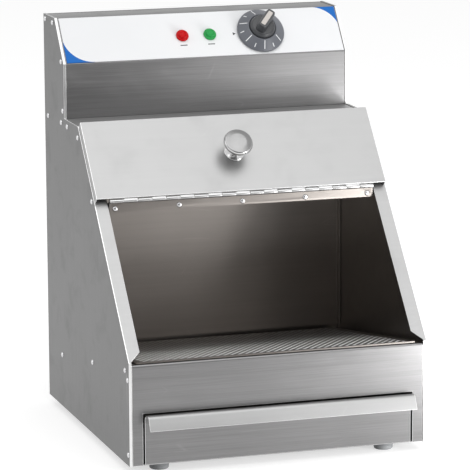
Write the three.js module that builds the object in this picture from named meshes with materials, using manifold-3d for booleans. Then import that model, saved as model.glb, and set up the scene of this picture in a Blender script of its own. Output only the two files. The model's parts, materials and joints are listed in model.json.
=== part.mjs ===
// Heated dump station for chipped potatoes, in millimetres, +Z up.
// The origin is the centre of the bounding box's base, the front faces -Y and the width runs along X.
// Inside the unit group Y starts at the front edge of the side panels and Z at their lower edge.

import * as THREE from 'three';
import { mergeVertices } from 'three/addons/utils/BufferGeometryUtils.js';
import Module from 'manifold-3d';

const wasm = await Module();
wasm.setup();

// Overall body
const width = 330;
const slopeRun = 192.5;
const ledgeRun = 57.5;
const controlRun = 36.5;
const headTopRun = 48.5;
const fasciaHeight = 111;
const slopeRise = 220;
const headFrontRise = 60;
const controlRise = 46.5;

// Sheet metal
const sheet = 1.2;
const hemThickness = 3;
const hemWidth = 9;
const reveal = 0.6;
const bendRadius = 2.4;
const bendSteps = 3;
const seatGap = 0.3;
const slideGap = 0.5;
const cutOverrun = 4;

// Round shapes
const turnSides = 24;
const lampSides = 20;
const smallSides = 10;
const rivetSides = 6;
const screwSides = 8;
const hexSides = 6;
const weldTolerance = 1e-4;

// Front jambs, and the deck under the head with its slot for the wires
const jambWidth = 11.2;
const jambMitreStart = 13;
const jambTopClearance = 4.2;
const deckLipDrop = 11;
const sideFlangeDepth = 11;
const deckSlotX = [6, 78];
const deckSlotBehind = [22, 44];

// Fascia
const legWidth = 15;
const slotHeight = 56;
const slotFlange = 10;
const fasciaTopDrop = 2.5;
const fasciaLipDepth = 5.4;
const fasciaLipDrop = 6;
const fasciaSideFlange = 12;

// Perforated floor plate and its rails, in a plane that falls to the back
const floorAngle = THREE.MathUtils.degToRad(9);
const plateThickness = 1.5;
const plateSideGap = 7.8;
const plateFrontLead = 3;
const plateRearGap = 8;
const plateCorner = 3;
const holeRadius = 2;
const holePitch = 48;
const holeSides = 6;
const holeMargin = 12;
const railShelfWidth = 12.5;
const railDrop = 12;
const railFrontLead = 5;

// Hopper back
const serviceDepth = 57;
const hopperBackBelow = 9.3;
const seamWidth = 9.5;
const seamLift = 3;
const seamTopDrop = 9;

// Crumb drawer
const drawerSideGap = 2;
const drawerTopGap = 2;
const drawerBottomGap = 0.7;
const gripReach = 20.6;
const gripTopReach = 13.4;
const gripRise = 2.5;
const gripDrop = 15;
const gripBend = 5;
const gripSteps = 5;
const drawerReturn = 10;
const trayDepth = 248;
const trayHeight = 46;
const runnerHeight = 28;
const runnerFoot = 9;

// Base plate and feet
const baseFlange = 12;
const footRadius = 11;
const footTaper = 0.8;
const footHeight = 10;
const footInsetX = 39;
const footInsetY = 25;
const footBoreRadius = 2.5;
const footRecessRadius = 5.2;
const footRecessDepth = 4;

// Header rail and piano hinge
const pinBelowTop = 99.3;
const pinHeight = 4.5;
const pinRadius = 1.1;
const barrelRadius = 2.2;
const leafThickness = 0.8;
const hingeSideInset = 15.5;
const knuckleCount = 19;
const knuckleGap = 0.3;
const fixedLeafDrop = 12.2;
const lidLeafWidth = 19;
const railBelowLeaf = 0.5;
const railWidth = 19.7;
const railUpstand = 7.5;
const railTopClearance = 1.9;
const hingeRivetCount = 5;
const hingeRivetInset = 6.5;
const hingeRivetDrop = 8.2;

// Lid
const lidSideReveal = 1;
const lidSheet = 1;
const lidHeight = 8;
const lidOpenEdge = 2;
const lidKnobRadius = 16.2;
const lidKnobBase = 11.5;
const lidKnobNeck = 4.6;
const lidKnobHeight = 24.5;
const lidKnobCap = 8;
const lidKnobFoot = 4;
const lidKnobEdge = 1.4;
const lidScrewRadius = 2;
const lidScrewHead = 4;
const lidScrewHeadHeight = 2.4;
const lidScrewReach = 9;

// Control panel
const overlayThickness = 0.8;
const overlayMargin = 1;
const controlRow = 28.5;
const redLampX = -24;
const greenLampX = 8;
const dialX = 67.4;
const dialRow = 29.4;
const bezelRadius = 7.2;
const bezelHeight = 2.2;
const bezelChamfer = 0.6;
const lensRadius = 5.4;
const lensHeight = 4.6;
const lensSteps = 4;
const lampNeckRadius = 4.6;
const lampNeckLength = 22;
const lampWall = 1.2;
const bushRadius = 4.7;
const bushReach = 1.2;
const spindleRadius = 2.9;
const spindleReach = 12;
const spindleSunk = 8;
const thermostatWidth = 40;
const thermostatHeight = 30;
const thermostatDepth = 26;
const thermostatTailDrop = 6;
const thermostatTailShift = 8;
const dialRadius = 27;
const dialRim = 2.4;
const dialHubRadius = 16;
const dialSkirtHeight = 10;
const dialHubHeight = 15;
const dialClearance = 1;
const gripLength = 27;
const gripWidth = 11.5;
const gripHeight = 25;
const gripRoot = 12;
const gripOffset = 3;
const gripTurn = THREE.MathUtils.degToRad(-40);
const insertLength = 20;
const insertWidth = 5.4;
const insertDepth = 1.4;

// Heating element, its supports and the temperature bulb, in the floor plane's frame
const elementRadius = 3.25;
const elementDrop = 10;
const elementLegX = 105;
const elementTurnRadius = 35;
const elementFrontTurn = 45;
const elementRearTurn = 212;
const elementTail = 14;
const elementLegLead = 9;
const elementSides = 8;
const elementSteps = 70;
const turnPoints = 8;
const supportThickness = 1.6;
const supportTopDrop = 8;
const supportBottomDrop = 20;
const supportEndGap = 1.5;
const supportShares = [0.24, 0.7];
const bulbRadius = 3;
const bulbX = 70;
const bulbStart = 118;
const bulbLength = 98;
const passageGap = 0.8;

// Electrics in the service space
const blockPoles = 4;
const polePitch = 11.5;
const blockDepth = 16;
const blockHeight = 20;
const blockBase = 150;
const poleBore = 2.6;
const poleBoreDepth = 5;
const wireRadius = 1.5;
const capillaryRadius = 1.1;
const wireSides = 6;
const wireSteps = 18;
const glandInsetX = 55;
const glandHeight = 85;
const glandRadius = 10;
const glandNeckRadius = 7.6;
const glandBore = 3.6;
const glandReach = 16;
const glandFlange = 4;
const glandInside = 9;

// Rivets and screws
const rivetHeadRadius = 2.7;
const rivetHeadHeight = 1.3;
const rivetShankRadius = 1.5;
const rivetEdgeShare = 0.35;
const rivetDomeShare = 0.65;
const rivetDomeRise = 1.1;
const screwHeadRadius = 3.6;
const screwHeadHeight = 2;
const screwRimShare = 0.78;
const screwShankRadius = 1.7;
const screwReach = 3.2;
const screwColumnShares = [-0.86, 0, 0.86];
const screwRowInset = 8;

// Back panel louvres
const louvreWidth = 76;
const louvreHeight = 7;
const louvreReach = 4;
const louvrePitch = 15;
const louvreRows = 4;
const louvreTopDrop = 48;
const louvreOffsetX = 62;

// Derived places
const halfWidth = width / 2;
const ledgeFrontY = slopeRun;
const headFrontY = ledgeFrontY + ledgeRun;
const controlTopY = headFrontY + controlRun;
const depth = controlTopY + headTopRun;
const ledgeHeight = fasciaHeight + slopeRise;
const controlBaseHeight = ledgeHeight + headFrontRise;
const height = controlBaseHeight + controlRise;
const hopperBackY = depth - serviceDepth;
const slotHalfWidth = halfWidth - legWidth;
const lidHalfWidth = halfWidth - lidSideReveal;
const hingeHalfLength = halfWidth - hingeSideInset;
const skinInner = halfWidth - sheet;
const hemInner = halfWidth - hemThickness;
const innerHalf = hemInner - seatGap;
const skinSeat = skinInner - seatGap;
const plateHalfWidth = skinInner - plateSideGap;
const slopeAngle = Math.atan2(slopeRise, slopeRun);
const slopeLength = Math.hypot(slopeRise, slopeRun);
const controlAngle = Math.atan2(controlRise, controlRun);
const controlLength = Math.hypot(controlRise, controlRun);
const pinAlongSlope = slopeLength - pinBelowTop;
const glandX = glandInsetX - halfWidth;
const baseTop = seatGap + sheet;
const fasciaTop = fasciaHeight - fasciaTopDrop;
const fasciaLipY = reveal + fasciaLipDepth;
const panelBackY = depth - sheet;
const rearSeatY = panelBackY - seatGap;
const deckTop = ledgeHeight - reveal;
const deckBottom = deckTop - sheet;
const gripFrontY = reveal - gripReach;
const glandEndY = depth + glandReach;
const centreY = (gripFrontY + glandEndY) / 2;

// Colours and finishes
const finishes = {
  brushed: { color: 0xb4b5b6, roughness: 0.38, metalness: 1 },
  bright: { color: 0xd6d7d8, roughness: 0.22, metalness: 1 },
  chrome: { color: 0xe6e7e8, roughness: 0.06, metalness: 1 },
  overlay: { color: 0xf5f6f7, roughness: 0.4, metalness: 0 },
  black: { color: 0x1b1c1e, roughness: 0.45, metalness: 0 },
  slate: { color: 0x3d4247, roughness: 0.42, metalness: 0 },
  cream: { color: 0xe6ddd2, roughness: 0.5, metalness: 0 },
  red: { color: 0xc4141c, roughness: 0.15, metalness: 0 },
  green: { color: 0x12a05c, roughness: 0.15, metalness: 0 },
  foot: { color: 0x8c8e90, roughness: 0.7, metalness: 0 },
  sheath: { color: 0x6e6a66, roughness: 0.45, metalness: 1 },
  copper: { color: 0xb87a50, roughness: 0.35, metalness: 1 },
  ceramic: { color: 0xd9d4c8, roughness: 0.6, metalness: 0 },
  wire: { color: 0x8a2f22, roughness: 0.55, metalness: 0 },
};

// Frames that carry the sloping pieces
function frameAt(y, z, angle) {
  const frame = new THREE.Matrix4().makeRotationX(angle);
  return frame.setPosition(0, y, z);
}

const benchFrame = new THREE.Matrix4();
const slopeFrame = frameAt(0, fasciaHeight, slopeAngle);
const controlFrame = frameAt(headFrontY, controlBaseHeight, controlAngle);
const floorFrame = frameAt(fasciaLipY, fasciaTop, -floorAngle);
const pinCentre = new THREE.Vector3(0, pinAlongSlope, pinHeight).applyMatrix4(slopeFrame);
const pinFrame = frameAt(pinCentre.y, pinCentre.z, 0);

// A point of a frame, as its Y and Z in the unit
function placeIn(frame, along, above) {
  const point = new THREE.Vector3(0, along, above).applyMatrix4(frame);
  return [point.y, point.z];
}

// Distance along the floor plane to a given Y, at a given height above the plane
function floorReach(y, above) {
  return (y - fasciaLipY - above * Math.sin(floorAngle)) / Math.cos(floorAngle);
}

// Solids from geometries
function signedVolume(positions, index) {
  const a = new THREE.Vector3();
  const b = new THREE.Vector3();
  const c = new THREE.Vector3();
  let volume = 0;
  for (let i = 0; i < index.length; i += 3) {
    a.fromArray(positions, 3 * index[i]);
    b.fromArray(positions, 3 * index[i + 1]);
    c.fromArray(positions, 3 * index[i + 2]);
    volume += a.dot(b.cross(c)) / 6;
  }
  return volume;
}

function solid(geometry) {
  const bare = geometry.clone();
  bare.deleteAttribute('normal');
  bare.deleteAttribute('uv');
  const welded = mergeVertices(bare, weldTolerance);
  const vertProperties = new Float32Array(welded.attributes.position.array);
  const triVerts = new Uint32Array(welded.index.array);
  if (signedVolume(vertProperties, triVerts) < 0) triVerts.reverse();
  return new wasm.Manifold(new wasm.Mesh({ numProp: 3, vertProperties, triVerts }));
}

function joined(solids) {
  return solids.reduce((whole, next) => whole.add(next));
}

function cut(body, tools) {
  return tools.reduce((rest, tool) => rest.subtract(tool), body);
}

function inFrame(body, frame) {
  return body.transform(frame.elements);
}

function geometryOf(body) {
  const mesh = body.getMesh();
  const geometry = new THREE.BufferGeometry();
  geometry.setAttribute('position', new THREE.BufferAttribute(mesh.vertProperties, mesh.numProp));
  geometry.setIndex(new THREE.BufferAttribute(mesh.triVerts, 1));
  geometry.computeVertexNormals();
  return geometry;
}

// Basic forms
function block(low, high) {
  const size = high.map((value, axis) => value - low[axis]);
  const geometry = new THREE.BoxGeometry(...size);
  return geometry.translate(...low.map((value, axis) => value + size[axis] / 2));
}

function shapeOf(points) {
  return new THREE.Shape(points.map(([u, v]) => new THREE.Vector2(u, v)));
}

function extrudedZ(points, low, high) {
  const geometry = new THREE.ExtrudeGeometry(shapeOf(points), { depth: high - low, bevelEnabled: false });
  return geometry.translate(0, 0, low);
}

// An outline in Y and Z, extruded along X
function extrudedX(points, low, high) {
  const xAxis = new THREE.Vector3(1, 0, 0);
  const yAxis = new THREE.Vector3(0, 1, 0);
  const zAxis = new THREE.Vector3(0, 0, 1);
  const turn = new THREE.Matrix4().makeBasis(yAxis, zAxis, xAxis);
  return extrudedZ(points, low, high).applyMatrix4(turn);
}

function rodX(radius, low, high, y, z, sides) {
  const geometry = new THREE.CylinderGeometry(radius, radius, high - low, sides);
  return geometry.rotateZ(Math.PI / 2).translate((low + high) / 2, y, z);
}

function rodY(radius, low, high, x, z, sides) {
  const geometry = new THREE.CylinderGeometry(radius, radius, high - low, sides);
  return geometry.translate(x, (low + high) / 2, z);
}

function rodZ(radius, low, high, x, y, sides) {
  const geometry = new THREE.CylinderGeometry(radius, radius, high - low, sides);
  return geometry.rotateX(Math.PI / 2).translate(x, y, (low + high) / 2);
}

// A profile of [radius, height] points turned about +Z
function turned(points, sides) {
  const profile = points.map(([radius, rise]) => new THREE.Vector2(radius, rise));
  return new THREE.LatheGeometry(profile, sides).rotateX(Math.PI / 2);
}

function tube(points, radius, sides, steps) {
  const route = new THREE.CatmullRomCurve3(points, false, 'centripetal');
  const ring = [];
  for (let i = 0; i < sides; i += 1) {
    const angle = 2 * Math.PI * i / sides;
    ring.push([radius * Math.cos(angle), radius * Math.sin(angle)]);
  }
  return new THREE.ExtrudeGeometry(shapeOf(ring), { steps, extrudePath: route, bevelEnabled: false });
}

// Range on the chosen side of the centre plane, lowest value first
function sideSpan(side, inner, outer) {
  return side > 0 ? [inner, outer] : [-outer, -inner];
}

function sideBlock(side, inner, outer, low, high) {
  const [from, to] = sideSpan(side, inner, outer);
  return solid(block([from, ...low], [to, ...high]));
}

// Folded sheet outlines
function mitre(previous, point, next, distance) {
  const into = new THREE.Vector2(point[0] - previous[0], point[1] - previous[1]).normalize();
  const out = new THREE.Vector2(next[0] - point[0], next[1] - point[1]).normalize();
  const reach = distance / (1 + into.dot(out));
  return [point[0] - reach * (into.y + out.y), point[1] + reach * (into.x + out.x)];
}

function insetLoop(points, distance) {
  const count = points.length;
  return points.map((point, i) => {
    const previous = points[(i + count - 1) % count];
    const next = points[(i + 1) % count];
    return mitre(previous, point, next, distance);
  });
}

function mirroredPoint(point, about) {
  return [2 * about[0] - point[0], 2 * about[1] - point[1]];
}

// A line moved to its left by a distance
function movedLine(line, distance) {
  return line.map((point, i) => {
    const previous = line[i - 1] ?? mirroredPoint(line[i + 1], point);
    const next = line[i + 1] ?? mirroredPoint(line[i - 1], point);
    return mitre(previous, point, next, distance);
  });
}

// Each inner corner of a line becomes a bend of the given radius
function roundedLine(corners, radius, steps) {
  const line = [corners[0]];
  for (let i = 1; i < corners.length - 1; i += 1) {
    const fold = new THREE.Vector2(...corners[i]);
    const back = new THREE.Vector2(...corners[i - 1]).sub(fold);
    const ahead = new THREE.Vector2(...corners[i + 1]).sub(fold);
    const reach = radius * Math.tan((Math.PI - back.angleTo(ahead)) / 2);
    const start = fold.clone().addScaledVector(back.normalize(), reach);
    const end = fold.clone().addScaledVector(ahead.normalize(), reach);
    const arc = new THREE.QuadraticBezierCurve(start, fold, end);
    line.push(...arc.getPoints(steps).map((point) => point.toArray()));
  }
  line.push(corners[corners.length - 1]);
  return line;
}

// Band between a line and its copy moved to the left
function bandOutline(line, thickness) {
  return [...line, ...movedLine(line, thickness).reverse()];
}

function foldedSheet(corners, thickness, half) {
  const line = roundedLine(corners, bendRadius, bendSteps);
  return solid(extrudedX(bandOutline(line, thickness), -half, half));
}

// Scene graph
const station = new THREE.Group();
const unit = new THREE.Group();
unit.position.set(0, -centreY, footHeight);
station.add(unit);

function groupIn(frame) {
  const group = new THREE.Group();
  group.applyMatrix4(frame);
  unit.add(group);
  return group;
}

const bench = groupIn(benchFrame);
const slope = groupIn(slopeFrame);
const control = groupIn(controlFrame);
const floor = groupIn(floorFrame);
const hinge = groupIn(pinFrame);

function addPiece(group, name, finish, body) {
  const material = new THREE.MeshStandardMaterial(finishes[finish]);
  const mesh = new THREE.Mesh(geometryOf(body), material);
  mesh.name = name;
  group.add(mesh);
}

// Side profile, anticlockwise in Y and Z
const corner = {
  frontFoot: [0, 0],
  rearFoot: [depth, 0],
  rearTop: [depth, height],
  controlTop: [controlTopY, height],
  controlBase: [headFrontY, controlBaseHeight],
  ledgeRear: [headFrontY, ledgeHeight],
  ledgeFront: [ledgeFrontY, ledgeHeight],
  fasciaTop: [0, fasciaHeight],
};
const sideProfile = Object.values(corner);

// The folded covers lie just inside that profile
const coverLoop = insetLoop(sideProfile, reveal);
const [, , coverRearTop, coverControlTop, coverControlBase, coverLedgeRear] = coverLoop;

// Rivets on each side, as offsets from the profile's corners
const rivetOffsets = [
  ['rearTop', -8, -5.3],
  ['controlTop', 9.2, -6],
  ['controlBase', 10.2, 1.5],
  ['ledgeRear', 5.6, 7.6],
  ['ledgeRear', 70, -7],
  ['ledgeRear', 13, -6.2],
  ['ledgeRear', -12.5, -7.2],
  ['ledgeFront', 0.9, -12.5],
  ['fasciaTop', 4.4, -18.6],
  ['frontFoot', 4.4, 12.3],
];

// One rivet more holds the header rail, and a row of them holds the floor rail
const headerRivetLead = 8.7;
const headerRivetDrop = 7.4;
const floorRivetDrop = 6.2;
const floorRivetShares = [0.034, 0.51, 0.985];

function sideRivetPlaces() {
  const floorRun = floorReach(hopperBackY, 0);
  return [
    ...rivetOffsets.map(([name, dy, dz]) => [corner[name][0] + dy, corner[name][1] + dz]),
    placeIn(slopeFrame, pinAlongSlope + headerRivetLead, -headerRivetDrop),
    ...floorRivetShares.map((share) => placeIn(floorFrame, share * floorRun, -floorRivetDrop)),
  ];
}

// A domed rivet whose head rests on the plane at height zero and whose shank points down
function rivet(shank) {
  const profile = [
    [0, -shank],
    [rivetShankRadius, -shank],
    [rivetShankRadius, 0],
    [rivetHeadRadius, 0],
    [rivetHeadRadius, rivetHeadHeight * rivetEdgeShare],
    [rivetHeadRadius * rivetDomeShare, rivetDomeRise],
    [0, rivetHeadHeight],
  ];
  return turned(profile, rivetSides);
}

// Skin, hem round its edge, the jamb folded in along the slope, and the closed rivets
function sidePanel(side) {
  const skin = solid(extrudedX(sideProfile, ...sideSpan(side, skinInner, halfWidth)));
  const hem = solid(extrudedX(sideProfile, ...sideSpan(side, hemInner, skinInner + sheet / 2)));
  const openSpan = sideSpan(side, hemInner - cutOverrun, skinInner);
  const open = solid(extrudedX(insetLoop(sideProfile, hemWidth), ...openSpan));
  const jambInner = hemInner - jambWidth;
  const jambOuter = hemInner + hemThickness / 4;
  const jambEnd = slopeLength - jambTopClearance;
  const plan = [
    [side * jambInner, jambMitreStart],
    [side * jambInner, jambEnd],
    [side * jambOuter, jambEnd],
    [side * jambOuter, jambMitreStart - (jambOuter - jambInner)],
  ];
  const jamb = inFrame(solid(extrudedZ(plan, -sheet, 0)), slopeFrame);
  const rivets = sideRivetPlaces().map(([y, z]) => {
    const upright = rivet(sheet / 2);
    return solid(upright.rotateY(side * Math.PI / 2).translate(side * halfWidth, y, z));
  });
  return joined([skin.add(hem).subtract(open), jamb, ...rivets]);
}

// Cross-slot screw, head above the plane at height zero
function screw(headRadius, headHeight, shankRadius, reach) {
  const profile = [
    [0, -reach],
    [shankRadius, -reach],
    [shankRadius, 0],
    [headRadius, 0],
    [headRadius, headHeight / 2],
    [headRadius * screwRimShare, headHeight],
    [0, headHeight],
  ];
  const short = headRadius / 8;
  const long = headRadius / 2;
  const slots = [
    block([-long, -short, headHeight / 2], [long, short, headHeight + cutOverrun]),
    block([-short, -long, headHeight / 2], [short, long, headHeight + cutOverrun]),
  ];
  return cut(solid(turned(profile, screwSides)), slots.map(solid));
}

// Back screws hold the back panel to the cover above and to the base plate below
function backScrewPlaces() {
  const rows = [seatGap + screwRowInset, coverRearTop[1] - screwRowInset];
  return rows.flatMap((z) => screwColumnShares.map((share) => [share * innerHalf, z]));
}

function backScrewHoles() {
  const radius = screwShankRadius + seatGap;
  return backScrewPlaces().map(([x, z]) => {
    return solid(rodY(radius, rearSeatY - sheet - cutOverrun, depth + cutOverrun, x, z, rivetSides));
  });
}

function backScrew([x, z]) {
  const one = screw(screwHeadRadius, screwHeadHeight, screwShankRadius, screwReach);
  return one.rotate([-90, 0, 0]).translate([x, depth + seatGap, z]);
}

function footPlaces() {
  const x = halfWidth - footInsetX;
  return [
    [-x, footInsetY],
    [x, footInsetY],
    [-x, depth - footInsetY],
    [x, depth - footInsetY],
  ];
}

// Base plate: a tongue between the fascia's legs, with upturned flanges at its sides and rear
function basePlate() {
  const frontY = reveal + sheet + seatGap;
  const shoulderY = reveal + fasciaSideFlange + seatGap;
  const tongueHalf = slotHalfWidth - seatGap;
  const plan = [
    [-tongueHalf, frontY],
    [tongueHalf, frontY],
    [tongueHalf, shoulderY],
    [innerHalf, shoulderY],
    [innerHalf, rearSeatY],
    [-innerHalf, rearSeatY],
    [-innerHalf, shoulderY],
    [-tongueHalf, shoulderY],
  ];
  const flangeTop = seatGap + baseFlange;
  const sideFlanges = [-1, 1].map((side) => {
    return sideBlock(side, innerHalf - sheet, innerHalf, [shoulderY, seatGap], [rearSeatY, flangeTop]);
  });
  const rear = solid(block([-innerHalf, rearSeatY - sheet, seatGap], [innerHalf, rearSeatY, flangeTop]));
  const footHoles = footPlaces().map(([x, y]) => {
    return solid(rodZ(screwShankRadius + seatGap, -cutOverrun, baseTop + cutOverrun, x, y, rivetSides));
  });
  const plate = joined([solid(extrudedZ(plan, seatGap, baseTop)), rear, ...sideFlanges]);
  return cut(plate, [...backScrewHoles(), ...footHoles]);
}

function foot([x, y]) {
  const recessTop = footRecessDepth - footHeight;
  const profile = [
    [footRecessRadius, -footHeight],
    [footRadius - footTaper, -footHeight],
    [footRadius, 0],
    [footBoreRadius, 0],
    [footBoreRadius, recessTop],
    [footRecessRadius, recessTop],
    [footRecessRadius, -footHeight],
  ];
  return solid(turned(profile, turnSides).translate(x, y, 0));
}

function footScrew([x, y]) {
  const headTop = footRecessDepth - footHeight - seatGap;
  const one = screw(screwHeadRadius, screwHeadHeight, screwShankRadius, baseTop + seatGap - headTop);
  return one.rotate([180, 0, 0]).translate([x, y, headTop]);
}

// Side flanges of a folded cover, inside its edges
function flangesAlong(corners) {
  const outline = bandOutline(movedLine(corners, seatGap - sheet), -sideFlangeDepth);
  return [-1, 1].map((side) => solid(extrudedX(outline, ...sideSpan(side, innerHalf - sheet, innerHalf))));
}

// Holes for the lamps and the dial's bush, in the control frame
function controlHoles() {
  const low = -reveal - sheet - cutOverrun;
  const high = overlayThickness + cutOverrun;
  const lampHole = lampNeckRadius + seatGap;
  const bushHole = bushRadius + seatGap;
  return [
    solid(rodZ(lampHole, low, high, redLampX, controlRow, smallSides)),
    solid(rodZ(lampHole, low, high, greenLampX, controlRow, smallSides)),
    solid(rodZ(bushHole, low, high, dialX, dialRow, smallSides)),
  ];
}

// Head cover: front, control face, top and a rear flange, folded from one sheet
function headCover() {
  const frontFoot = [coverLedgeRear[0], deckTop + seatGap];
  const rearTop = [rearSeatY, coverRearTop[1]];
  const rearFoot = [rearSeatY, coverRearTop[1] - 2 * screwRowInset];
  const outline = [frontFoot, coverControlBase, coverControlTop, rearTop, rearFoot];
  const cover = foldedSheet(outline, -sheet, innerHalf);
  const flangeFoot = [frontFoot[0], frontFoot[1] + bendRadius];
  const flangeRear = [rearSeatY - bendRadius, coverRearTop[1]];
  const flanges = flangesAlong([flangeFoot, coverControlBase, coverControlTop, flangeRear]);
  const holes = controlHoles().map((tool) => inFrame(tool, controlFrame));
  return cut(joined([cover, ...flanges]), [...holes, ...backScrewHoles()]);
}

// Deck: the ledge in front of the head, carried back under it to close the service space
function deck() {
  const frontY = ledgeFrontY + reveal + seatGap;
  const corners = [
    [frontY, deckTop - deckLipDrop],
    [frontY, deckTop],
    [rearSeatY, deckTop],
  ];
  const pieces = [foldedSheet(corners, -sheet, innerHalf)];
  const stretches = [
    [frontY + bendRadius, hopperBackY - seamWidth],
    [hopperBackY + 2 * sheet + seatGap, rearSeatY],
  ];
  for (const side of [-1, 1]) {
    for (const [fromY, toY] of stretches) {
      const low = [fromY, deckTop - deckLipDrop];
      pieces.push(sideBlock(side, innerHalf - sheet, innerHalf, low, [toY, deckTop - sheet / 2]));
    }
  }
  const low = [deckSlotX[0], hopperBackY + deckSlotBehind[0], deckBottom - cutOverrun];
  const high = [deckSlotX[1], hopperBackY + deckSlotBehind[1], deckTop + cutOverrun];
  return joined(pieces).subtract(solid(block(low, high)));
}

// Printed overlay on the control face
const overlayBase = -reveal + seatGap;
const overlayTop = overlayBase + overlayThickness;

function controlOverlay() {
  const low = [-innerHalf + overlayMargin, overlayMargin, overlayBase];
  const high = [innerHalf - overlayMargin, controlLength - overlayMargin, overlayTop];
  return cut(solid(block(low, high)), controlHoles());
}

// Snap-in pilot lamp: bezel and barrel in one, open at its face
function lampBezel(x) {
  const bottom = overlayTop + seatGap;
  const top = bottom + bezelHeight;
  const seat = bottom + bezelChamfer;
  const barrelInner = lampNeckRadius - lampWall;
  const profile = [
    [0, -lampNeckLength],
    [lampNeckRadius, -lampNeckLength],
    [lampNeckRadius, bottom],
    [bezelRadius, bottom],
    [bezelRadius, top - bezelChamfer],
    [bezelRadius - bezelChamfer, top],
    [lensRadius + seatGap, top],
    [lensRadius + seatGap, seat],
    [barrelInner, seat],
    [barrelInner, -lampNeckLength + lampWall],
    [0, -lampNeckLength + lampWall],
  ];
  return solid(turned(profile, lampSides).translate(x, controlRow, 0));
}

function lampLens(x) {
  const bottom = overlayTop + seatGap + bezelChamfer + seatGap;
  const shoulder = bottom + bezelHeight / 2;
  const profile = [[0, bottom], [lensRadius, bottom]];
  for (let i = 0; i < lensSteps; i += 1) {
    const angle = Math.PI / 2 * i / lensSteps;
    const rise = (lensHeight - bezelHeight / 2) * Math.sin(angle);
    profile.push([lensRadius * Math.cos(angle), shoulder + rise]);
  }
  profile.push([0, bottom + lensHeight]);
  return solid(turned(profile, lampSides).translate(x, controlRow, 0));
}

// Thermostat body with its threaded bush and the spindle's bore
const thermostatFront = -reveal - sheet - seatGap;

function thermostatBody() {
  const caseRear = thermostatFront - thermostatDepth;
  const low = [dialX - thermostatWidth / 2, dialRow - thermostatHeight / 2, caseRear];
  const high = [dialX + thermostatWidth / 2, dialRow + thermostatHeight / 2, thermostatFront];
  const bushTop = overlayTop + bushReach;
  const bush = rodZ(bushRadius, thermostatFront - sheet, bushTop, dialX, dialRow, smallSides);
  const boreLow = thermostatFront - spindleSunk - seatGap;
  const bore = rodZ(spindleRadius + seatGap, boreLow, bushTop + cutOverrun, dialX, dialRow, smallSides);
  return solid(block(low, high)).add(solid(bush)).subtract(solid(bore));
}

function thermostatSpindle() {
  const low = thermostatFront - spindleSunk;
  return solid(rodZ(spindleRadius, low, overlayTop + spindleReach, dialX, dialRow, smallSides));
}

// Knob: skirt, hub and grip bar in one moulding, hollow over the bush
const dialBase = overlayTop + dialClearance;
const gripTop = dialBase + gripHeight;

function gripBar(length, breadth, low, high) {
  const tail = gripOffset - length / 2;
  const tip = gripOffset + length / 2;
  const bar = block([-breadth / 2, tail, low], [breadth / 2, tip, high]);
  return solid(bar.rotateZ(gripTurn).translate(dialX, dialRow, 0));
}

function dialKnob() {
  const profile = [
    [0, dialBase],
    [dialRadius, dialBase],
    [dialRadius, dialBase + dialRim],
    [dialHubRadius, dialBase + dialSkirtHeight],
    [dialHubRadius - dialRim, dialBase + dialHubHeight - dialRim],
    [dialHubRadius - 2 * dialRim, dialBase + dialHubHeight],
    [0, dialBase + dialHubHeight],
  ];
  const body = solid(turned(profile, turnSides).translate(dialX, dialRow, 0));
  const bar = gripBar(gripLength, gripWidth, dialBase + gripRoot, gripTop);
  const recessLength = insertLength + 2 * seatGap;
  const recessWidth = insertWidth + 2 * seatGap;
  const recess = gripBar(recessLength, recessWidth, gripTop - insertDepth, gripTop + cutOverrun);
  const boreTop = overlayTop + spindleReach + seatGap;
  const low = dialBase - cutOverrun;
  const bore = rodZ(spindleRadius + seatGap, low, boreTop, dialX, dialRow, smallSides);
  const pocketTop = overlayTop + bushReach + slideGap;
  const pocket = rodZ(bushRadius + 2 * slideGap, low, pocketTop, dialX, dialRow, smallSides);
  return cut(body.add(bar), [recess, solid(bore), solid(pocket)]);
}

function dialInsert() {
  return gripBar(insertLength, insertWidth, gripTop - insertDepth + seatGap, gripTop + seatGap);
}

// Back panel with hooded louvres, the gland's hole and the screw holes
function louvrePlaces() {
  const places = [];
  for (let row = 0; row < louvreRows; row += 1) {
    const z = coverRearTop[1] - louvreTopDrop - row * louvrePitch;
    for (const side of [-1, 1]) places.push([side * louvreOffsetX, z]);
  }
  return places;
}

function louvreWedge(x, z, shrink) {
  const outline = [
    [depth - sheet / 2, z - shrink],
    [depth - sheet / 2, z - louvreHeight - shrink],
    [depth + louvreReach - shrink, z - louvreHeight - shrink],
  ];
  return solid(extrudedX(outline, x - louvreWidth / 2 + shrink, x + louvreWidth / 2 - shrink));
}

function backPanel() {
  const panel = solid(block([-innerHalf, panelBackY, seatGap], [innerHalf, depth, coverRearTop[1]]));
  const slotHalf = louvreWidth / 2 - sheet;
  const slots = louvrePlaces().map(([x, z]) => {
    const low = [x - slotHalf, panelBackY - cutOverrun, z - louvreHeight];
    return solid(block(low, [x + slotHalf, depth + cutOverrun, z - 2 * sheet]));
  });
  const hoods = louvrePlaces().map(([x, z]) => louvreWedge(x, z, 0).subtract(louvreWedge(x, z, sheet)));
  const span = [panelBackY - cutOverrun, depth + cutOverrun];
  const glandHole = solid(rodY(glandNeckRadius + seatGap, ...span, glandX, glandHeight, lampSides));
  return cut(joined([cut(panel, slots), ...hoods]), [glandHole, ...backScrewHoles()]);
}

function cableGland() {
  const outerY = depth + seatGap;
  const profile = [
    [glandBore, panelBackY - glandInside],
    [glandNeckRadius, panelBackY - glandInside],
    [glandNeckRadius, outerY],
    [glandRadius, outerY],
    [glandRadius, outerY + glandFlange],
    [glandNeckRadius, outerY + glandFlange],
    [glandNeckRadius, glandEndY - glandFlange],
    [glandBore + sheet, glandEndY],
    [glandBore, glandEndY],
    [glandBore, panelBackY - glandInside],
  ];
  return solid(turned(profile, lampSides).rotateX(-Math.PI / 2).translate(glandX, 0, glandHeight));
}

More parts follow.
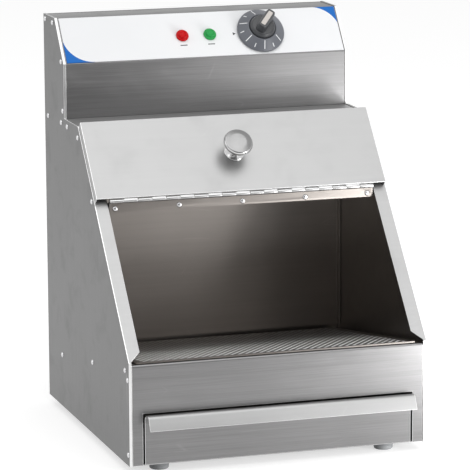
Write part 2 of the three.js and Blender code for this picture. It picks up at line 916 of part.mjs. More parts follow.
function glandNut() {
  const high = panelBackY - seatGap;
  const low = high - glandFlange;
  const nut = solid(rodY(glandRadius + sheet, low, high, glandX, glandHeight, hexSides));
  const span = [low - cutOverrun, high + cutOverrun];
  return nut.subtract(solid(rodY(glandNeckRadius + seatGap, ...span, glandX, glandHeight, lampSides)));
}

// Fascia with its rolled top edge and the folded surround of the drawer's slot
function frontFascia() {
  const corners = [
    [reveal, seatGap],
    [reveal, fasciaTop],
    [fasciaLipY, fasciaTop],
    [fasciaLipY, fasciaTop - fasciaLipDrop],
  ];
  const face = foldedSheet(corners, -sheet, innerHalf);
  const slotEnd = [slotHalfWidth, reveal + cutOverrun, slotHeight];
  const slot = block([-slotHalfWidth, -cutOverrun, -cutOverrun], slotEnd);
  const flangeY = reveal + sheet / 2;
  const flangeEnd = reveal + slotFlange;
  const surroundHalf = slotHalfWidth + sheet;
  const surroundTop = slotHeight + sheet;
  const flanges = [solid(block([-surroundHalf, flangeY, slotHeight], [surroundHalf, flangeEnd, surroundTop]))];
  for (const side of [-1, 1]) {
    const low = [flangeY, seatGap];
    flanges.push(sideBlock(side, slotHalfWidth, surroundHalf, low, [flangeEnd, surroundTop]));
    const outerHigh = [reveal + fasciaSideFlange, fasciaTop - 2 * fasciaLipDrop];
    flanges.push(sideBlock(side, innerHalf - sheet, innerHalf, low, outerHigh));
  }
  return joined([face.subtract(solid(slot)), ...flanges]);
}

// Levels of the element and the bulb in the floor frame
const elementLevel = -elementDrop;
const bulbLevel = -supportTopDrop + seatGap + bulbRadius;
const elementMiddleX = elementLegX - 2 * elementTurnRadius;
const elementLeaves = placeIn(floorFrame, floorReach(hopperBackY, elementLevel), elementLevel);
const hopperBackBottom = elementLeaves[1] - hopperBackBelow;

// Passages of the element's tails and the capillary through the hopper's back
function backPassages() {
  const span = [floorReach(hopperBackY - seamWidth, 0), floorReach(depth, 0)];
  const tools = [-1, 1].map((side) => {
    return rodY(elementRadius + passageGap, ...span, side * elementLegX, elementLevel, smallSides);
  });
  tools.push(rodY(capillaryRadius + 2 * passageGap, ...span, bulbX, bulbLevel, smallSides));
  return tools.map((tool) => inFrame(solid(tool), floorFrame));
}

// Hopper back with seam flanges folded forward along the side panels
function hopperBack() {
  const top = deckBottom - seatGap;
  const webEnd = [skinSeat, hopperBackY + sheet, top];
  const web = solid(block([-skinSeat, hopperBackY, hopperBackBottom], webEnd));
  const seamFront = hopperBackY - seamWidth;
  const seamFoot = placeIn(floorFrame, floorReach(seamFront, 0), seatGap + plateThickness)[1] + seamLift;
  const seams = [-1, 1].map((side) => {
    const high = [hopperBackY + sheet / 2, top - seamTopDrop];
    return sideBlock(side, skinSeat - sheet, skinSeat, [seamFront, seamFoot], high);
  });
  return cut(joined([web, ...seams]), backPassages());
}

// Floor rail, an angle whose shelf carries the plate
function floorRail(side) {
  const shelfEnd = floorReach(hopperBackY - seatGap, 0);
  const shelfSpan = [skinSeat - railShelfWidth, skinSeat];
  const shelf = sideBlock(side, ...shelfSpan, [railFrontLead, -sheet], [shelfEnd, 0]);
  const leg = sideBlock(side, skinSeat - sheet, skinSeat, [railFrontLead, -railDrop], [shelfEnd, -sheet / 2]);
  return shelf.add(leg);
}

// Loose floor plate, with a coarse grid of its holes: every sixth one of the fine pattern
function perforatedPlate() {
  const front = -plateFrontLead;
  const rear = floorReach(hopperBackY - plateRearGap, 0);
  const plan = [
    [-plateHalfWidth + plateCorner, front],
    [plateHalfWidth - plateCorner, front],
    [plateHalfWidth, front + plateCorner],
    [plateHalfWidth, rear],
    [-plateHalfWidth, rear],
    [-plateHalfWidth, front + plateCorner],
  ];
  const low = seatGap;
  const high = seatGap + plateThickness;
  const rowPitch = holePitch * Math.sin(Math.PI / 3);
  const rows = Math.floor((rear - front - 2 * holeMargin) / rowPitch) + 1;
  const first = (front + rear - (rows - 1) * rowPitch) / 2;
  const tools = [];
  for (let row = 0; row < rows; row += 1) {
    const shift = row % 2 === 0 ? 0 : holePitch / 2;
    const along = first + row * rowPitch;
    for (let x = shift; x < plateHalfWidth - holeMargin; x += holePitch) {
      const places = x === 0 ? [0] : [-x, x];
      tools.push(...places.map((place) => rodZ(holeRadius, low - cutOverrun, high + cutOverrun, place, along, holeSides)));
    }
  }
  return solid(extrudedZ(plan, low, high)).subtract(joined(tools.map(solid)));
}

// Element: two long legs and two short ones, joined by half turns
function elementRoute() {
  const sideCentre = (elementLegX + elementMiddleX) / 2;
  const tailAlong = floorReach(hopperBackY + elementTail, elementLevel);
  const turns = [
    { centre: -sideCentre, along: elementFrontTurn, sweep: Math.PI, legs: 1 },
    { centre: 0, along: elementRearTurn, sweep: -Math.PI, legs: -1 },
    { centre: sideCentre, along: elementFrontTurn, sweep: Math.PI, legs: 1 },
  ];
  const points = [
    new THREE.Vector3(-elementLegX, tailAlong, elementLevel),
    new THREE.Vector3(-elementLegX, tailAlong - elementTail, elementLevel),
  ];
  for (const { centre, along, sweep, legs } of turns) {
    const legAlong = along + legs * elementLegLead;
    points.push(new THREE.Vector3(centre - elementTurnRadius, legAlong, elementLevel));
    for (let i = 0; i <= turnPoints; i += 1) {
      const angle = Math.PI + sweep * i / turnPoints;
      const across = centre + elementTurnRadius * Math.cos(angle);
      points.push(new THREE.Vector3(across, along + elementTurnRadius * Math.sin(angle), elementLevel));
    }
    points.push(new THREE.Vector3(centre + elementTurnRadius, legAlong, elementLevel));
  }
  points.push(new THREE.Vector3(elementLegX, tailAlong - elementTail, elementLevel));
  points.push(new THREE.Vector3(elementLegX, tailAlong, elementLevel));
  return points;
}

// Cross strip between the rails that carries the element in open notches
function elementSupport(share) {
  const along = share * floorReach(hopperBackY, 0);
  const half = skinSeat - supportEndGap;
  const stripEnd = [half, along + supportThickness, -supportTopDrop];
  const strip = block([-half, along, -supportBottomDrop], stripEnd);
  const notchHalf = elementRadius + seatGap;
  const notches = [-elementLegX, -elementMiddleX, elementMiddleX, elementLegX].map((x) => {
    const low = [x - notchHalf, along - cutOverrun, elementLevel - notchHalf];
    return solid(block(low, [x + notchHalf, along + supportThickness + cutOverrun, cutOverrun]));
  });
  return cut(solid(strip), notches);
}

function sensorBulb() {
  return solid(rodY(bulbRadius, bulbStart, bulbStart + bulbLength, bulbX, bulbLevel, smallSides));
}

// Header rail behind the fixed hinge leaf, a channel across the mouth with a tab at each end
const leafBackY = pinCentre.y + barrelRadius;
const leafBottomZ = pinCentre.z - fixedLeafDrop;

function hingeRivetPlaces() {
  const reach = hingeHalfLength - hingeRivetInset;
  const places = [];
  for (let i = 0; i < hingeRivetCount; i += 1) {
    places.push(THREE.MathUtils.lerp(-reach, reach, i / (hingeRivetCount - 1)));
  }
  return places;
}

// Height of the slope plane, less a drop square to it, above a given Y
function slopeHeight(y, drop) {
  return fasciaHeight + y * Math.tan(slopeAngle) - drop / Math.cos(slopeAngle);
}

function headerRail() {
  const frontY = leafBackY + seatGap;
  const rearY = frontY + railWidth;
  const bottomZ = leafBottomZ - railBelowLeaf;
  const topZ = slopeHeight(frontY, railTopClearance);
  const corners = [
    [frontY, topZ],
    [frontY, bottomZ],
    [rearY, bottomZ],
    [rearY, bottomZ + railUpstand],
  ];
  const tab = [
    [frontY, bottomZ + sheet / 2],
    [rearY, bottomZ + sheet / 2],
    [rearY, slopeHeight(rearY, railTopClearance)],
    [frontY, topZ],
  ];
  const tabs = [-1, 1].map((side) => solid(extrudedX(tab, ...sideSpan(side, innerHalf - sheet, innerHalf))));
  const z = pinCentre.z - hingeRivetDrop;
  const holes = hingeRivetPlaces().map((x) => {
    return solid(rodY(rivetShankRadius + seatGap, frontY - cutOverrun, frontY + cutOverrun, x, z, rivetSides));
  });
  return cut(joined([foldedSheet(corners, sheet, innerHalf), ...tabs]), holes);
}

// Knuckles along X about the pin: even ones belong to the fixed leaf, odd ones to the lid's
const knucklePitch = 2 * hingeHalfLength / knuckleCount;

function knuckles(parity, radius, grow) {
  const all = [];
  for (let i = parity; i < knuckleCount; i += 2) {
    const low = -hingeHalfLength + i * knucklePitch - grow;
    all.push(solid(rodX(radius, low, low + knucklePitch - knuckleGap + 2 * grow, 0, 0, smallSides)));
  }
  return all;
}

// Leaf and knuckles of one side, relieved round the other side's knuckles and bored for the pin
function hingeLeaf(leaf, parity) {
  const relief = knuckles(1 - parity, barrelRadius + slideGap, knuckleGap);
  const bore = rodX(pinRadius + seatGap, -halfWidth, halfWidth, 0, 0, rivetSides);
  return joined([cut(leaf, relief), ...knuckles(parity, barrelRadius, 0)]).subtract(solid(bore));
}

const leafInner = barrelRadius - leafThickness;

function fixedLeaf() {
  const leafFoot = [-hingeHalfLength, leafInner, -fixedLeafDrop];
  const leaf = solid(block(leafFoot, [hingeHalfLength, barrelRadius, 0]));
  const shank = leafThickness + seatGap + sheet;
  const rivets = hingeRivetPlaces().map((x) => {
    return solid(rivet(shank).rotateX(Math.PI / 2).translate(x, leafInner, -hingeRivetDrop));
  });
  return joined([hingeLeaf(leaf, 0), ...rivets]);
}

function lidLeaf() {
  const leafEnd = [hingeHalfLength, lidLeafWidth, barrelRadius];
  const leaf = solid(block([-hingeHalfLength, 0, leafInner], leafEnd));
  return hingeLeaf(leaf, 1).translate([0, pinAlongSlope, pinHeight]);
}

function hingePin() {
  return solid(rodX(pinRadius, -hingeHalfLength, hingeHalfLength, 0, 0, rivetSides));
}

// Lid: a shallow tray, open along its hinge edge, whose returns rest on the side panels
const lidLow = pinAlongSlope + lidOpenEdge;
const lidMiddle = (lidLow + slopeLength) / 2;
const lidInside = lidHeight - lidSheet;

function lidPanel() {
  const skin = solid(block([-lidHalfWidth, lidLow, lidInside], [lidHalfWidth, slopeLength, lidHeight]));
  const topLow = [-lidHalfWidth, slopeLength - lidSheet, seatGap];
  const topReturn = solid(block(topLow, [lidHalfWidth, slopeLength, lidHeight]));
  const sideReturns = [-1, 1].map((side) => {
    return sideBlock(side, lidHalfWidth - lidSheet, lidHalfWidth, [lidLow, seatGap], [slopeLength, lidHeight]);
  });
  const hole = rodZ(lidScrewRadius + seatGap, 0, lidHeight + cutOverrun, 0, lidMiddle, smallSides);
  return joined([skin, topReturn, ...sideReturns]).subtract(solid(hole));
}

function lidKnob() {
  const base = lidHeight + seatGap;
  const top = base + lidKnobHeight;
  const capLow = top - lidKnobCap;
  const profile = [
    [0, base],
    [lidKnobBase, base],
    [lidKnobBase, base + lidKnobEdge],
    [2 * lidKnobNeck, base + 2 * lidKnobEdge],
    [lidKnobNeck + lidKnobEdge, base + lidKnobFoot],
    [lidKnobNeck, base + 2 * lidKnobFoot],
    [lidKnobNeck, capLow - lidKnobFoot],
    [2 * lidKnobNeck, capLow - lidKnobEdge],
    [lidKnobRadius - lidKnobEdge, capLow],
    [lidKnobRadius, capLow + lidKnobEdge],
    [lidKnobRadius, capLow + 2 * lidKnobEdge],
    [lidKnobRadius - lidKnobEdge, top - lidKnobEdge],
    [lidKnobRadius / 2, top],
    [0, top],
  ];
  const body = solid(turned(profile, turnSides));
  const bore = rodZ(lidScrewRadius + seatGap, base - cutOverrun, base + lidScrewReach, 0, 0, smallSides);
  return body.subtract(solid(bore)).translate([0, lidMiddle, 0]);
}

function lidKnobScrew() {
  const one = screw(lidScrewHead, lidScrewHeadHeight, lidScrewRadius, lidSheet + lidScrewReach);
  return one.rotate([180, 0, 0]).translate([0, lidMiddle, lidInside - seatGap]);
}

// Crumb drawer: folded front with its grip, and the tray behind it
function drawerFront() {
  const half = slotHalfWidth - drawerSideGap;
  const top = slotHeight - drawerTopGap;
  const bottom = seatGap + drawerBottomGap;
  const corners = [
    [reveal + sheet, bottom],
    [reveal + sheet, top],
    [reveal - gripTopReach, top + gripRise],
    [gripFrontY, top + gripRise - gripDrop],
  ];
  const line = roundedLine(corners, gripBend, gripSteps);
  const face = solid(extrudedX(bandOutline(line, sheet), -half, half));
  const returns = [-1, 1].map((side) => {
    const low = [reveal + sheet / 2, baseTop + seatGap];
    return sideBlock(side, half - sheet, half, low, [reveal + drawerReturn, top - 2 * gripBend]);
  });
  return joined([face, ...returns]);
}

const trayHalf = slotHalfWidth - drawerSideGap - sheet - seatGap;
const trayFrontY = reveal + sheet + seatGap;
const trayRearY = trayFrontY + trayDepth;
const trayBottom = baseTop + seatGap;

function drawerTray() {
  const outsideTop = trayBottom + trayHeight;
  const outside = block([-trayHalf, trayFrontY, trayBottom], [trayHalf, trayRearY, outsideTop]);
  const insideLow = [-trayHalf + sheet, trayFrontY + sheet, trayBottom + sheet];
  const insideHigh = [trayHalf - sheet, trayRearY - sheet, trayBottom + trayHeight + cutOverrun];
  return solid(outside).subtract(solid(block(insideLow, insideHigh)));
}

function drawerRunner(side) {
  const inner = slotHalfWidth - drawerSideGap + seatGap;
  const frontY = reveal + fasciaSideFlange + sheet;
  const web = sideBlock(side, inner, inner + sheet, [frontY, trayBottom], [trayRearY, runnerHeight]);
  return web.add(sideBlock(side, inner, inner + runnerFoot, [frontY, trayBottom], [trayRearY, trayBottom + sheet]));
}

// Terminal block on the hopper's back, with a bore for each pole in its rear face
const blockFrontY = hopperBackY + sheet + seatGap;
const blockMidY = blockFrontY + blockDepth / 2;
const blockTop = blockBase + blockHeight;

function poleX(pole) {
  return (pole - (blockPoles - 1) / 2) * polePitch;
}

function terminalBlock() {
  const half = blockPoles * polePitch / 2;
  const rearY = blockFrontY + blockDepth;
  const bores = [];
  for (let pole = 0; pole < blockPoles; pole += 1) {
    const z = (blockBase + blockTop) / 2;
    bores.push(solid(rodY(poleBore, rearY - poleBoreDepth, rearY + cutOverrun, poleX(pole), z, rivetSides)));
  }
  return cut(solid(block([-half, blockFrontY, blockBase], [half, rearY, blockTop])), bores);
}

// Points of the wire routes, each in the space that it crosses
function inService([across, behind, up]) {
  return new THREE.Vector3(across * halfWidth, hopperBackY + behind * serviceDepth, up * deckTop);
}

// Through the deck's slot, from just under it to just over it
function throughDeck(share) {
  const x = THREE.MathUtils.lerp(deckSlotX[0], deckSlotX[1], share);
  const y = hopperBackY + (deckSlotBehind[0] + deckSlotBehind[1]) / 2;
  return [-1, 1].map((step) => new THREE.Vector3(x, y, deckTop + step * lead));
}

function behindControls(x, along, behind) {
  return new THREE.Vector3(x, along, -behind).applyMatrix4(controlFrame);
}

function inFloor(x, along, above) {
  return new THREE.Vector3(x, along, above).applyMatrix4(floorFrame);
}

function overPole(pole, clearance) {
  return new THREE.Vector3(poleX(pole), blockMidY, blockTop + clearance);
}

function underPole(pole, clearance) {
  return new THREE.Vector3(poleX(pole), blockMidY, blockBase - clearance);
}

const polePull = 12;
const lead = 14;
const lampTail = lampNeckLength + seatGap;
const thermostatTail = thermostatDepth - thermostatFront + seatGap;
const thermostatRow = dialRow - thermostatTailDrop;
const elementEnd = floorReach(hopperBackY + elementTail, elementLevel) + seatGap;
const bulbEnd = bulbStart + bulbLength + seatGap;

// Routes chosen by hand, as shares of the half width, the service space's depth and the deck's height
const supplyShares = [
  [-0.67, 0.67, 0.26],
  [-0.56, 0.63, 0.31],
  [-0.3, 0.49, 0.375],
];
const heaterLeftShares = [
  [-0.56, 0.42, 0.23],
  [-0.28, 0.25, 0.34],
];
const heaterRightShares = [
  [0.56, 0.49, 0.23],
  [0.28, 0.39, 0.34],
];
const redLampShare = [-0.05, 0.35, 0.73];
const greenLampShare = [0.036, 0.39, 0.73];
const thermostatShare = [0.19, 0.39, 0.73];
const capillaryShares = [
  [0.436, 0.23, 0.22],
  [0.46, 0.18, 0.42],
  [0.436, 0.25, 0.73],
];
const redSlotShare = 0.14;
const greenSlotShare = 0.32;
const thermostatSlotShare = 0.56;
const capillarySlotShare = 0.81;

// Both ends of a route that meets a terminal, a lamp, the thermostat or the element
function fromPole(pole) {
  return [overPole(pole, seatGap), overPole(pole, polePull)];
}

function toPole(pole) {
  return [underPole(pole, polePull), underPole(pole, seatGap)];
}

function toControl(x, along, tail) {
  return [behindControls(x, along, tail + lead), behindControls(x, along, tail)];
}

function fromElement(x) {
  return [inFloor(x, elementEnd, elementLevel), inFloor(x, elementEnd + lead / 2, elementLevel)];
}

const glandEnd = new THREE.Vector3(glandX, panelBackY - glandInside - seatGap, glandHeight);
const lampLeads = [redLampX, greenLampX].map((x) => toControl(x, controlRow, lampTail));
const wireRoutes = {
  supply_wire: [glandEnd, ...supplyShares.map(inService), ...toPole(0)],
  heater_wire_left: [...fromElement(-elementLegX), ...heaterLeftShares.map(inService), ...toPole(1)],
  heater_wire_right: [...fromElement(elementLegX), ...heaterRightShares.map(inService), ...toPole(2)],
  red_lamp_wire: [...fromPole(0), inService(redLampShare), ...throughDeck(redSlotShare), ...lampLeads[0]],
  green_lamp_wire: [...fromPole(1), inService(greenLampShare), ...throughDeck(greenSlotShare), ...lampLeads[1]],
  thermostat_wire: [
    ...fromPole(3),
    inService(thermostatShare),
    ...throughDeck(thermostatSlotShare),
    ...toControl(dialX - thermostatTailShift, thermostatRow, thermostatTail),
  ],
};
const capillaryRoute = [
  inFloor(bulbX, bulbEnd, bulbLevel),
  inFloor(bulbX, bulbEnd + lead, bulbLevel),
  inFloor(bulbX, floorReach(hopperBackY + lead / 2, bulbLevel), bulbLevel),
  ...capillaryShares.map(inService),
  ...throughDeck(capillarySlotShare),
  ...toControl(dialX + thermostatTailShift, thermostatRow, thermostatTail),
];

// Assembly
for (const [name, side] of [['left', -1], ['right', 1]]) {
  addPiece(bench, `side_panel_${name}`, 'brushed', sidePanel(side));
  addPiece(floor, `floor_rail_${name}`, 'bright', floorRail(side));
  addPiece(bench, `drawer_runner_${name}`, 'bright', drawerRunner(side));
}
addPiece(bench, 'base_plate', 'brushed', basePlate());
addPiece(bench, 'back_panel', 'brushed', backPanel());
addPiece(bench, 'head_cover', 'brushed', headCover());
addPiece(bench, 'deck', 'brushed', deck());
addPiece(bench, 'front_fascia', 'brushed', frontFascia());
addPiece(bench, 'hopper_back', 'bright', hopperBack());
addPiece(bench, 'header_rail', 'bright', headerRail());
addPiece(floor, 'perforated_plate', 'bright', perforatedPlate());
addPiece(bench, 'drawer_front', 'brushed', drawerFront());
addPiece(bench, 'drawer_tray', 'bright', drawerTray());

const screwNames = ['lower_left', 'lower_middle', 'lower_right', 'upper_left', 'upper_middle', 'upper_right'];
backScrewPlaces().forEach((place, i) => {
  addPiece(bench, `back_screw_${screwNames[i]}`, 'bright', backScrew(place));
});
const footNames = ['front_left', 'front_right', 'rear_left', 'rear_right'];
footPlaces().forEach((place, i) => {
  addPiece(bench, `foot_${footNames[i]}`, 'foot', foot(place));
  addPiece(bench, `foot_screw_${footNames[i]}`, 'bright', footScrew(place));
});

addPiece(control, 'control_overlay', 'overlay', controlOverlay());
for (const [colour, x] of [['red', redLampX], ['green', greenLampX]]) {
  addPiece(control, `${colour}_lamp_bezel`, colour, lampBezel(x));
  addPiece(control, `${colour}_lamp_lens`, colour, lampLens(x));
}
addPiece(control, 'thermostat_body', 'ceramic', thermostatBody());
addPiece(control, 'thermostat_spindle', 'bright', thermostatSpindle());
addPiece(control, 'thermostat_knob', 'slate', dialKnob());
addPiece(control, 'knob_insert', 'cream', dialInsert());

addPiece(hinge, 'hinge_leaf_fixed', 'bright', fixedLeaf());
addPiece(hinge, 'hinge_pin', 'bright', hingePin());
addPiece(slope, 'hinge_leaf_lid', 'bright', lidLeaf());
addPiece(slope, 'lid_panel', 'bright', lidPanel());
addPiece(slope, 'lid_knob', 'chrome', lidKnob());
addPiece(slope, 'lid_knob_screw', 'bright', lidKnobScrew());

addPiece(floor, 'heating_element', 'sheath', solid(tube(elementRoute(), elementRadius, elementSides, elementSteps)));
const supportNames = ['front', 'rear'];
supportShares.forEach((share, i) => {
  addPiece(floor, `element_support_${supportNames[i]}`, 'bright', elementSupport(share));
});
addPiece(floor, 'sensor_bulb', 'copper', sensorBulb());

addPiece(bench, 'terminal_block', 'ceramic', terminalBlock());
addPiece(bench, 'cable_gland', 'black', cableGland());
addPiece(bench, 'gland_nut', 'black', glandNut());
for (const [name, points] of Object.entries(wireRoutes)) {
  addPiece(bench, name, 'wire', solid(tube(points, wireRadius, wireSides, wireSteps)));
}
const capillary = tube(capillaryRoute, capillaryRadius, wireSides, 2 * wireSteps);
addPiece(bench, 'sensor_capillary', 'copper', solid(capillary));

export default station;
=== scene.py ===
# %% [markdown]
# # A countertop dump station for fried food, dressed for a render
#
# The object is a folded stainless steel cabinet: two side panels, a raised control head with a
# dial and two lamps, a hinged lid, an open hopper with a perforated floor, and a crumb drawer.
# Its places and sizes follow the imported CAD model. This lesson softens the edges of the sheets
# and makes the small turned, drilled and moulded pieces again as smooth numpy surfaces.

import json
import math

import bmesh
import bpy
import numpy as np
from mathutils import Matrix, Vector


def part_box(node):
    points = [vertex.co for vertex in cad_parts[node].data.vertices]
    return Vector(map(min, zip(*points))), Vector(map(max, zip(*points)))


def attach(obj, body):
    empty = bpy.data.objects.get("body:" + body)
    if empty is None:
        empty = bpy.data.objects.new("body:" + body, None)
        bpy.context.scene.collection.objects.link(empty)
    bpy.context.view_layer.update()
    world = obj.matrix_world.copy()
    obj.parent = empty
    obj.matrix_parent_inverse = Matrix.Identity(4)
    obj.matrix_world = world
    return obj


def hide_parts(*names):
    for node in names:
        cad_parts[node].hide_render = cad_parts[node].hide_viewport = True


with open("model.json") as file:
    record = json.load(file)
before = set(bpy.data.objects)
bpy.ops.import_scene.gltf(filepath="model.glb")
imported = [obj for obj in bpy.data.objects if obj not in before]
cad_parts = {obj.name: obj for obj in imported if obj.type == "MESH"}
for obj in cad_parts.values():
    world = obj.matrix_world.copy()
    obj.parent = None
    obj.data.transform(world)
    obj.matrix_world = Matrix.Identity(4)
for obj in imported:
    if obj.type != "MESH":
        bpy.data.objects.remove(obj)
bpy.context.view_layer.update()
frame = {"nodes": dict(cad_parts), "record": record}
scene = bpy.context.scene

# %% [markdown]
# The drawing of the cabinet measures in millimetres from the front of the side panels. The
# scene measures in metres from the middle of the footprint at the bottom of the feet. One
# function carries whole arrays of points across, and a second one also leans them, because the
# lid and hopper lie on a slope, the controls on a steeper one and the floor plate on a third.

# %% Places in the cabinet
MM = 0.001
FRONT_TO_MIDDLE = 165.5
FOOT_HEIGHT = 10.0
SIDE_FACE = 165.0
SLOPE_LENGTH = 292.329
SLOPE = (0.0, 111.0, math.atan2(220.0, 192.5))
CONTROLS = (250.0, 391.0, math.atan2(46.5, 36.5))
FLOOR = (6.0, 108.5, math.radians(-9.0))


def xyz(*parts):
    """Joins coordinates into points, with each part stretched to the shape of the others."""
    return np.stack(np.broadcast_arrays(*parts), axis=-1)


def in_cabinet(points):
    """Millimetres in the drawing to metres in the scene: shift back and up, then shrink."""
    return (points + np.array([0.0, -FRONT_TO_MIDDLE, FOOT_HEIGHT])) * MM


def leaning(points, lean):
    """Turns points about the X axis by the lean's angle and moves them to its foot line.

    A point (x, s, n) lies s along the leaning face and n out of it, so its depth is
    s cos(angle) - n sin(angle) and its height is s sin(angle) + n cos(angle).
    """
    x, s, n = np.moveaxis(np.asarray(points, dtype=float), -1, 0)
    depth, height, angle = lean
    depth = depth + s * math.cos(angle) - n * math.sin(angle)
    height = height + s * math.sin(angle) + n * math.cos(angle)
    return in_cabinet(xyz(x, depth, height))


def box_mm(node):
    """The lowest and the highest corner of a CAD node in millimetres."""
    return [np.asarray(corner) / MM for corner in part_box(node)]


print("top of the slope:", leaning([0.0, SLOPE_LENGTH, 0.0], SLOPE).round(4))

# %% [markdown]
# The camera stands to the left of the cabinet, a little above it and far off, so the picture
# has almost no perspective. The rows below are its own right, down and forward directions.
# Blender's camera looks along its negative Z axis, which is why two of them change sign. A
# matrix is handed to Blender column by column, so it is turned over first.


# %% Camera
def stand(made, x_axis, y_axis, z_axis, place):
    """Links an object and puts it at a place, with its own axes along three directions."""
    rows = np.eye(4)
    rows[:3] = np.column_stack([x_axis, y_axis, z_axis, place])
    made.matrix_world = rows.T.tolist()
    scene.collection.objects.link(made)


right = np.array([0.952459, -0.304632, -0.004701])
down = np.array([-0.063224, -0.182532, -0.981165])
forward = np.array([0.298036, 0.934816, -0.193114])
eye = np.array([-1.032568, -3.251608, 0.887354])

camera = bpy.data.objects.new("camera", bpy.data.cameras.new("camera"))
camera.data.sensor_width = 36.0
camera.data.lens = 243.134
camera.data.clip_end = 50.0
stand(camera, right, -down, -forward, eye)
scene.camera = camera
print("camera looks along", forward.round(3))

# %% [markdown]
# Materials are built from nodes. One helper fills a node's inputs by name or number: a socket
# is linked, and anything else is typed in. Another adds a node with its settings. The rest are
# short names for common steps.


# %% Node helpers
def fill(tree, made, inputs):
    """Links each input of a node to a socket, or types a plain value into it."""
    for name, value in inputs.items():
        if isinstance(value, bpy.types.NodeSocket):
            tree.links.new(value, made.inputs[name])
        else:
            made.inputs[name].default_value = value


def add(tree, kind, inputs=None, **settings):
    """Adds a node, applies its settings and fills its inputs."""
    made = tree.nodes.new("ShaderNode" + kind)
    for name, value in settings.items():
        setattr(made, name, value)
    fill(tree, made, inputs or {})
    return made


def math_node(tree, operation, first, second=0.0):
    """One step of arithmetic on two numbers or sockets."""
    return add(tree, "Math", {0: first, 1: second}, operation=operation).outputs[0]


def times(tree, first, second):
    """The product of two numbers or sockets."""
    return math_node(tree, "MULTIPLY", first, second)


def largest(tree, first, *others):
    """The largest of several numbers or sockets."""
    for other in others:
        first = math_node(tree, "MAXIMUM", first, other)
    return first


def vector_node(tree, operation, first, second=(0.0, 0.0, 0.0)):
    """One step of arithmetic on two vectors."""
    return add(tree, "VectorMath", {0: first, 1: second}, operation=operation).outputs[0]


def ramp(tree, value, start, end, low=0.0, high=1.0):
    """Low up to the start, high from the end, and a straight line between them."""
    span = {"Value": value, "From Min": start, "From Max": end, "To Min": low, "To Max": high}
    return add(tree, "MapRange", span).outputs[0]


def swing(tree, value, middle, reach):
    """Stretches a value from 0..1 to the reach below and above a middle."""
    return ramp(tree, value, 0.0, 1.0, middle - reach, middle + reach)


def noise(tree, place, scale, detail, **others):
    """The outputs of a noise texture, with its further inputs by name."""
    return add(tree, "TexNoise", {"Vector": place, "Scale": scale, "Detail": detail, **others}).outputs


def mixed(tree, factor, first, second, blend="MIX"):
    """Blends two colours by a factor: a Mix node has them at 6 and 7, and the result at 2."""
    return add(tree, "Mix", {0: factor, 6: first, 7: second}, data_type="RGBA", blend_type=blend).outputs[2]


def rgba(tint, level=1.0):
    """An opaque colour: a tint made lighter or darker by a level."""
    return (*[min(1.0, part * level) for part in tint], 1.0)


def grey(level):
    """A neutral colour."""
    return (level, level, level, 1.0)


# %% [markdown]
# The studio is a pale floor and a dim even sky. The camera, and the polished surfaces that
# mirror the room, see the sky as plain white. Every other ray sees it grey, so the background
# is white without pouring more light on the steel. The floor glows for those rays too.


# %% World and floor
def sees_white(tree):
    """1 for rays that come from the camera, from a mirror or through glass, 0 for all others."""
    ray = add(tree, "LightPath").outputs
    return largest(tree, ray["Is Camera Ray"], ray["Is Glossy Ray"], ray["Is Transmission Ray"])


def screen(name, corners, material):
    """One flat rectangle that belongs to the studio."""
    mesh = bpy.data.meshes.new(name)
    mesh.from_pydata(corners, [], [(0, 1, 2, 3)])
    mesh.materials.append(material)
    made = bpy.data.objects.new(name, mesh)
    scene.collection.objects.link(made)
    return made


world = bpy.data.worlds.new("studio")
scene.world = world
world.use_nodes = True
sky = world.node_tree
sky.nodes.clear()
tone = mixed(sky, sees_white(sky), grey(0.55), grey(1.0))
backdrop = add(sky, "Background", {"Color": tone, "Strength": 1.0})
add(sky, "OutputWorld", {"Surface": backdrop.outputs[0]})

paper = bpy.data.materials.new("floor_paper")
paper.use_nodes = True
tree = paper.node_tree
tree.nodes.clear()
matte = add(tree, "BsdfDiffuse", {"Color": grey(0.62)})
glow = add(tree, "Emission", {"Color": grey(1.0), "Strength": 0.58})
dark = add(tree, "Emission", {"Color": grey(0.0), "Strength": 0.0})
lift = add(tree, "MixShader", {0: sees_white(tree), 1: dark.outputs[0], 2: glow.outputs[0]})
both = add(tree, "AddShader", {0: matte.outputs[0], 1: lift.outputs[0]})
add(tree, "OutputMaterial", {"Surface": both.outputs[0]})
screen("studio_floor", [(-6.0, -6.0, 0.0), (6.0, -6.0, 0.0), (6.0, 6.0, 0.0), (-6.0, 6.0, 0.0)], paper)
print("world:", world.name, "and floor:", paper.name)

# %% [markdown]
# Four soft area lamps light the cabinet, and the camera sees none of them. The large one hangs
# overhead, one stands at the left, and two small near ones make the right ends of the head and
# of the drawer brighter. Steel shows what it mirrors, so upright faces would be white all over.
# A grey card stands before the cabinet, where only reflections see it: it lights nothing and
# throws no shadow. It ends not far to the right, so the steel brightens from left to right.


# %% Lamps and shading card
def soft_lamp(name, place, target, size, power):
    """An area lamp at a place, facing a target: it shines along its own negative Z axis."""
    lamp = bpy.data.lights.new(name, "AREA")
    lamp.shape = "RECTANGLE"
    lamp.size, lamp.size_y = size
    lamp.energy = power
    made = bpy.data.objects.new(name, lamp)
    way = np.subtract(target, place)
    way /= np.linalg.norm(way)
    side = np.cross(way, (0.0, 0.0, 1.0))
    side /= np.linalg.norm(side)
    stand(made, side, np.cross(side, way), -way, place)
    made.visible_camera = False


soft_lamp("overhead_lamp", (-0.1, -1.6, 3.3), target=(0.0, 0.0, 0.25), size=(4.0, 3.6), power=66.0)
soft_lamp("right_lamp", (0.75, -0.9, 0.30), target=(0.15, -0.05, 0.36), size=(0.4, 0.4), power=2.4)
soft_lamp("low_lamp", (0.42, -0.48, 0.09), target=(0.15, -0.165, 0.07), size=(0.24, 0.16), power=1.8)
soft_lamp("left_lamp", (-2.6, 0.2, 1.6), target=(0.0, 0.0, 0.2), size=(1.6, 1.6), power=9.0)

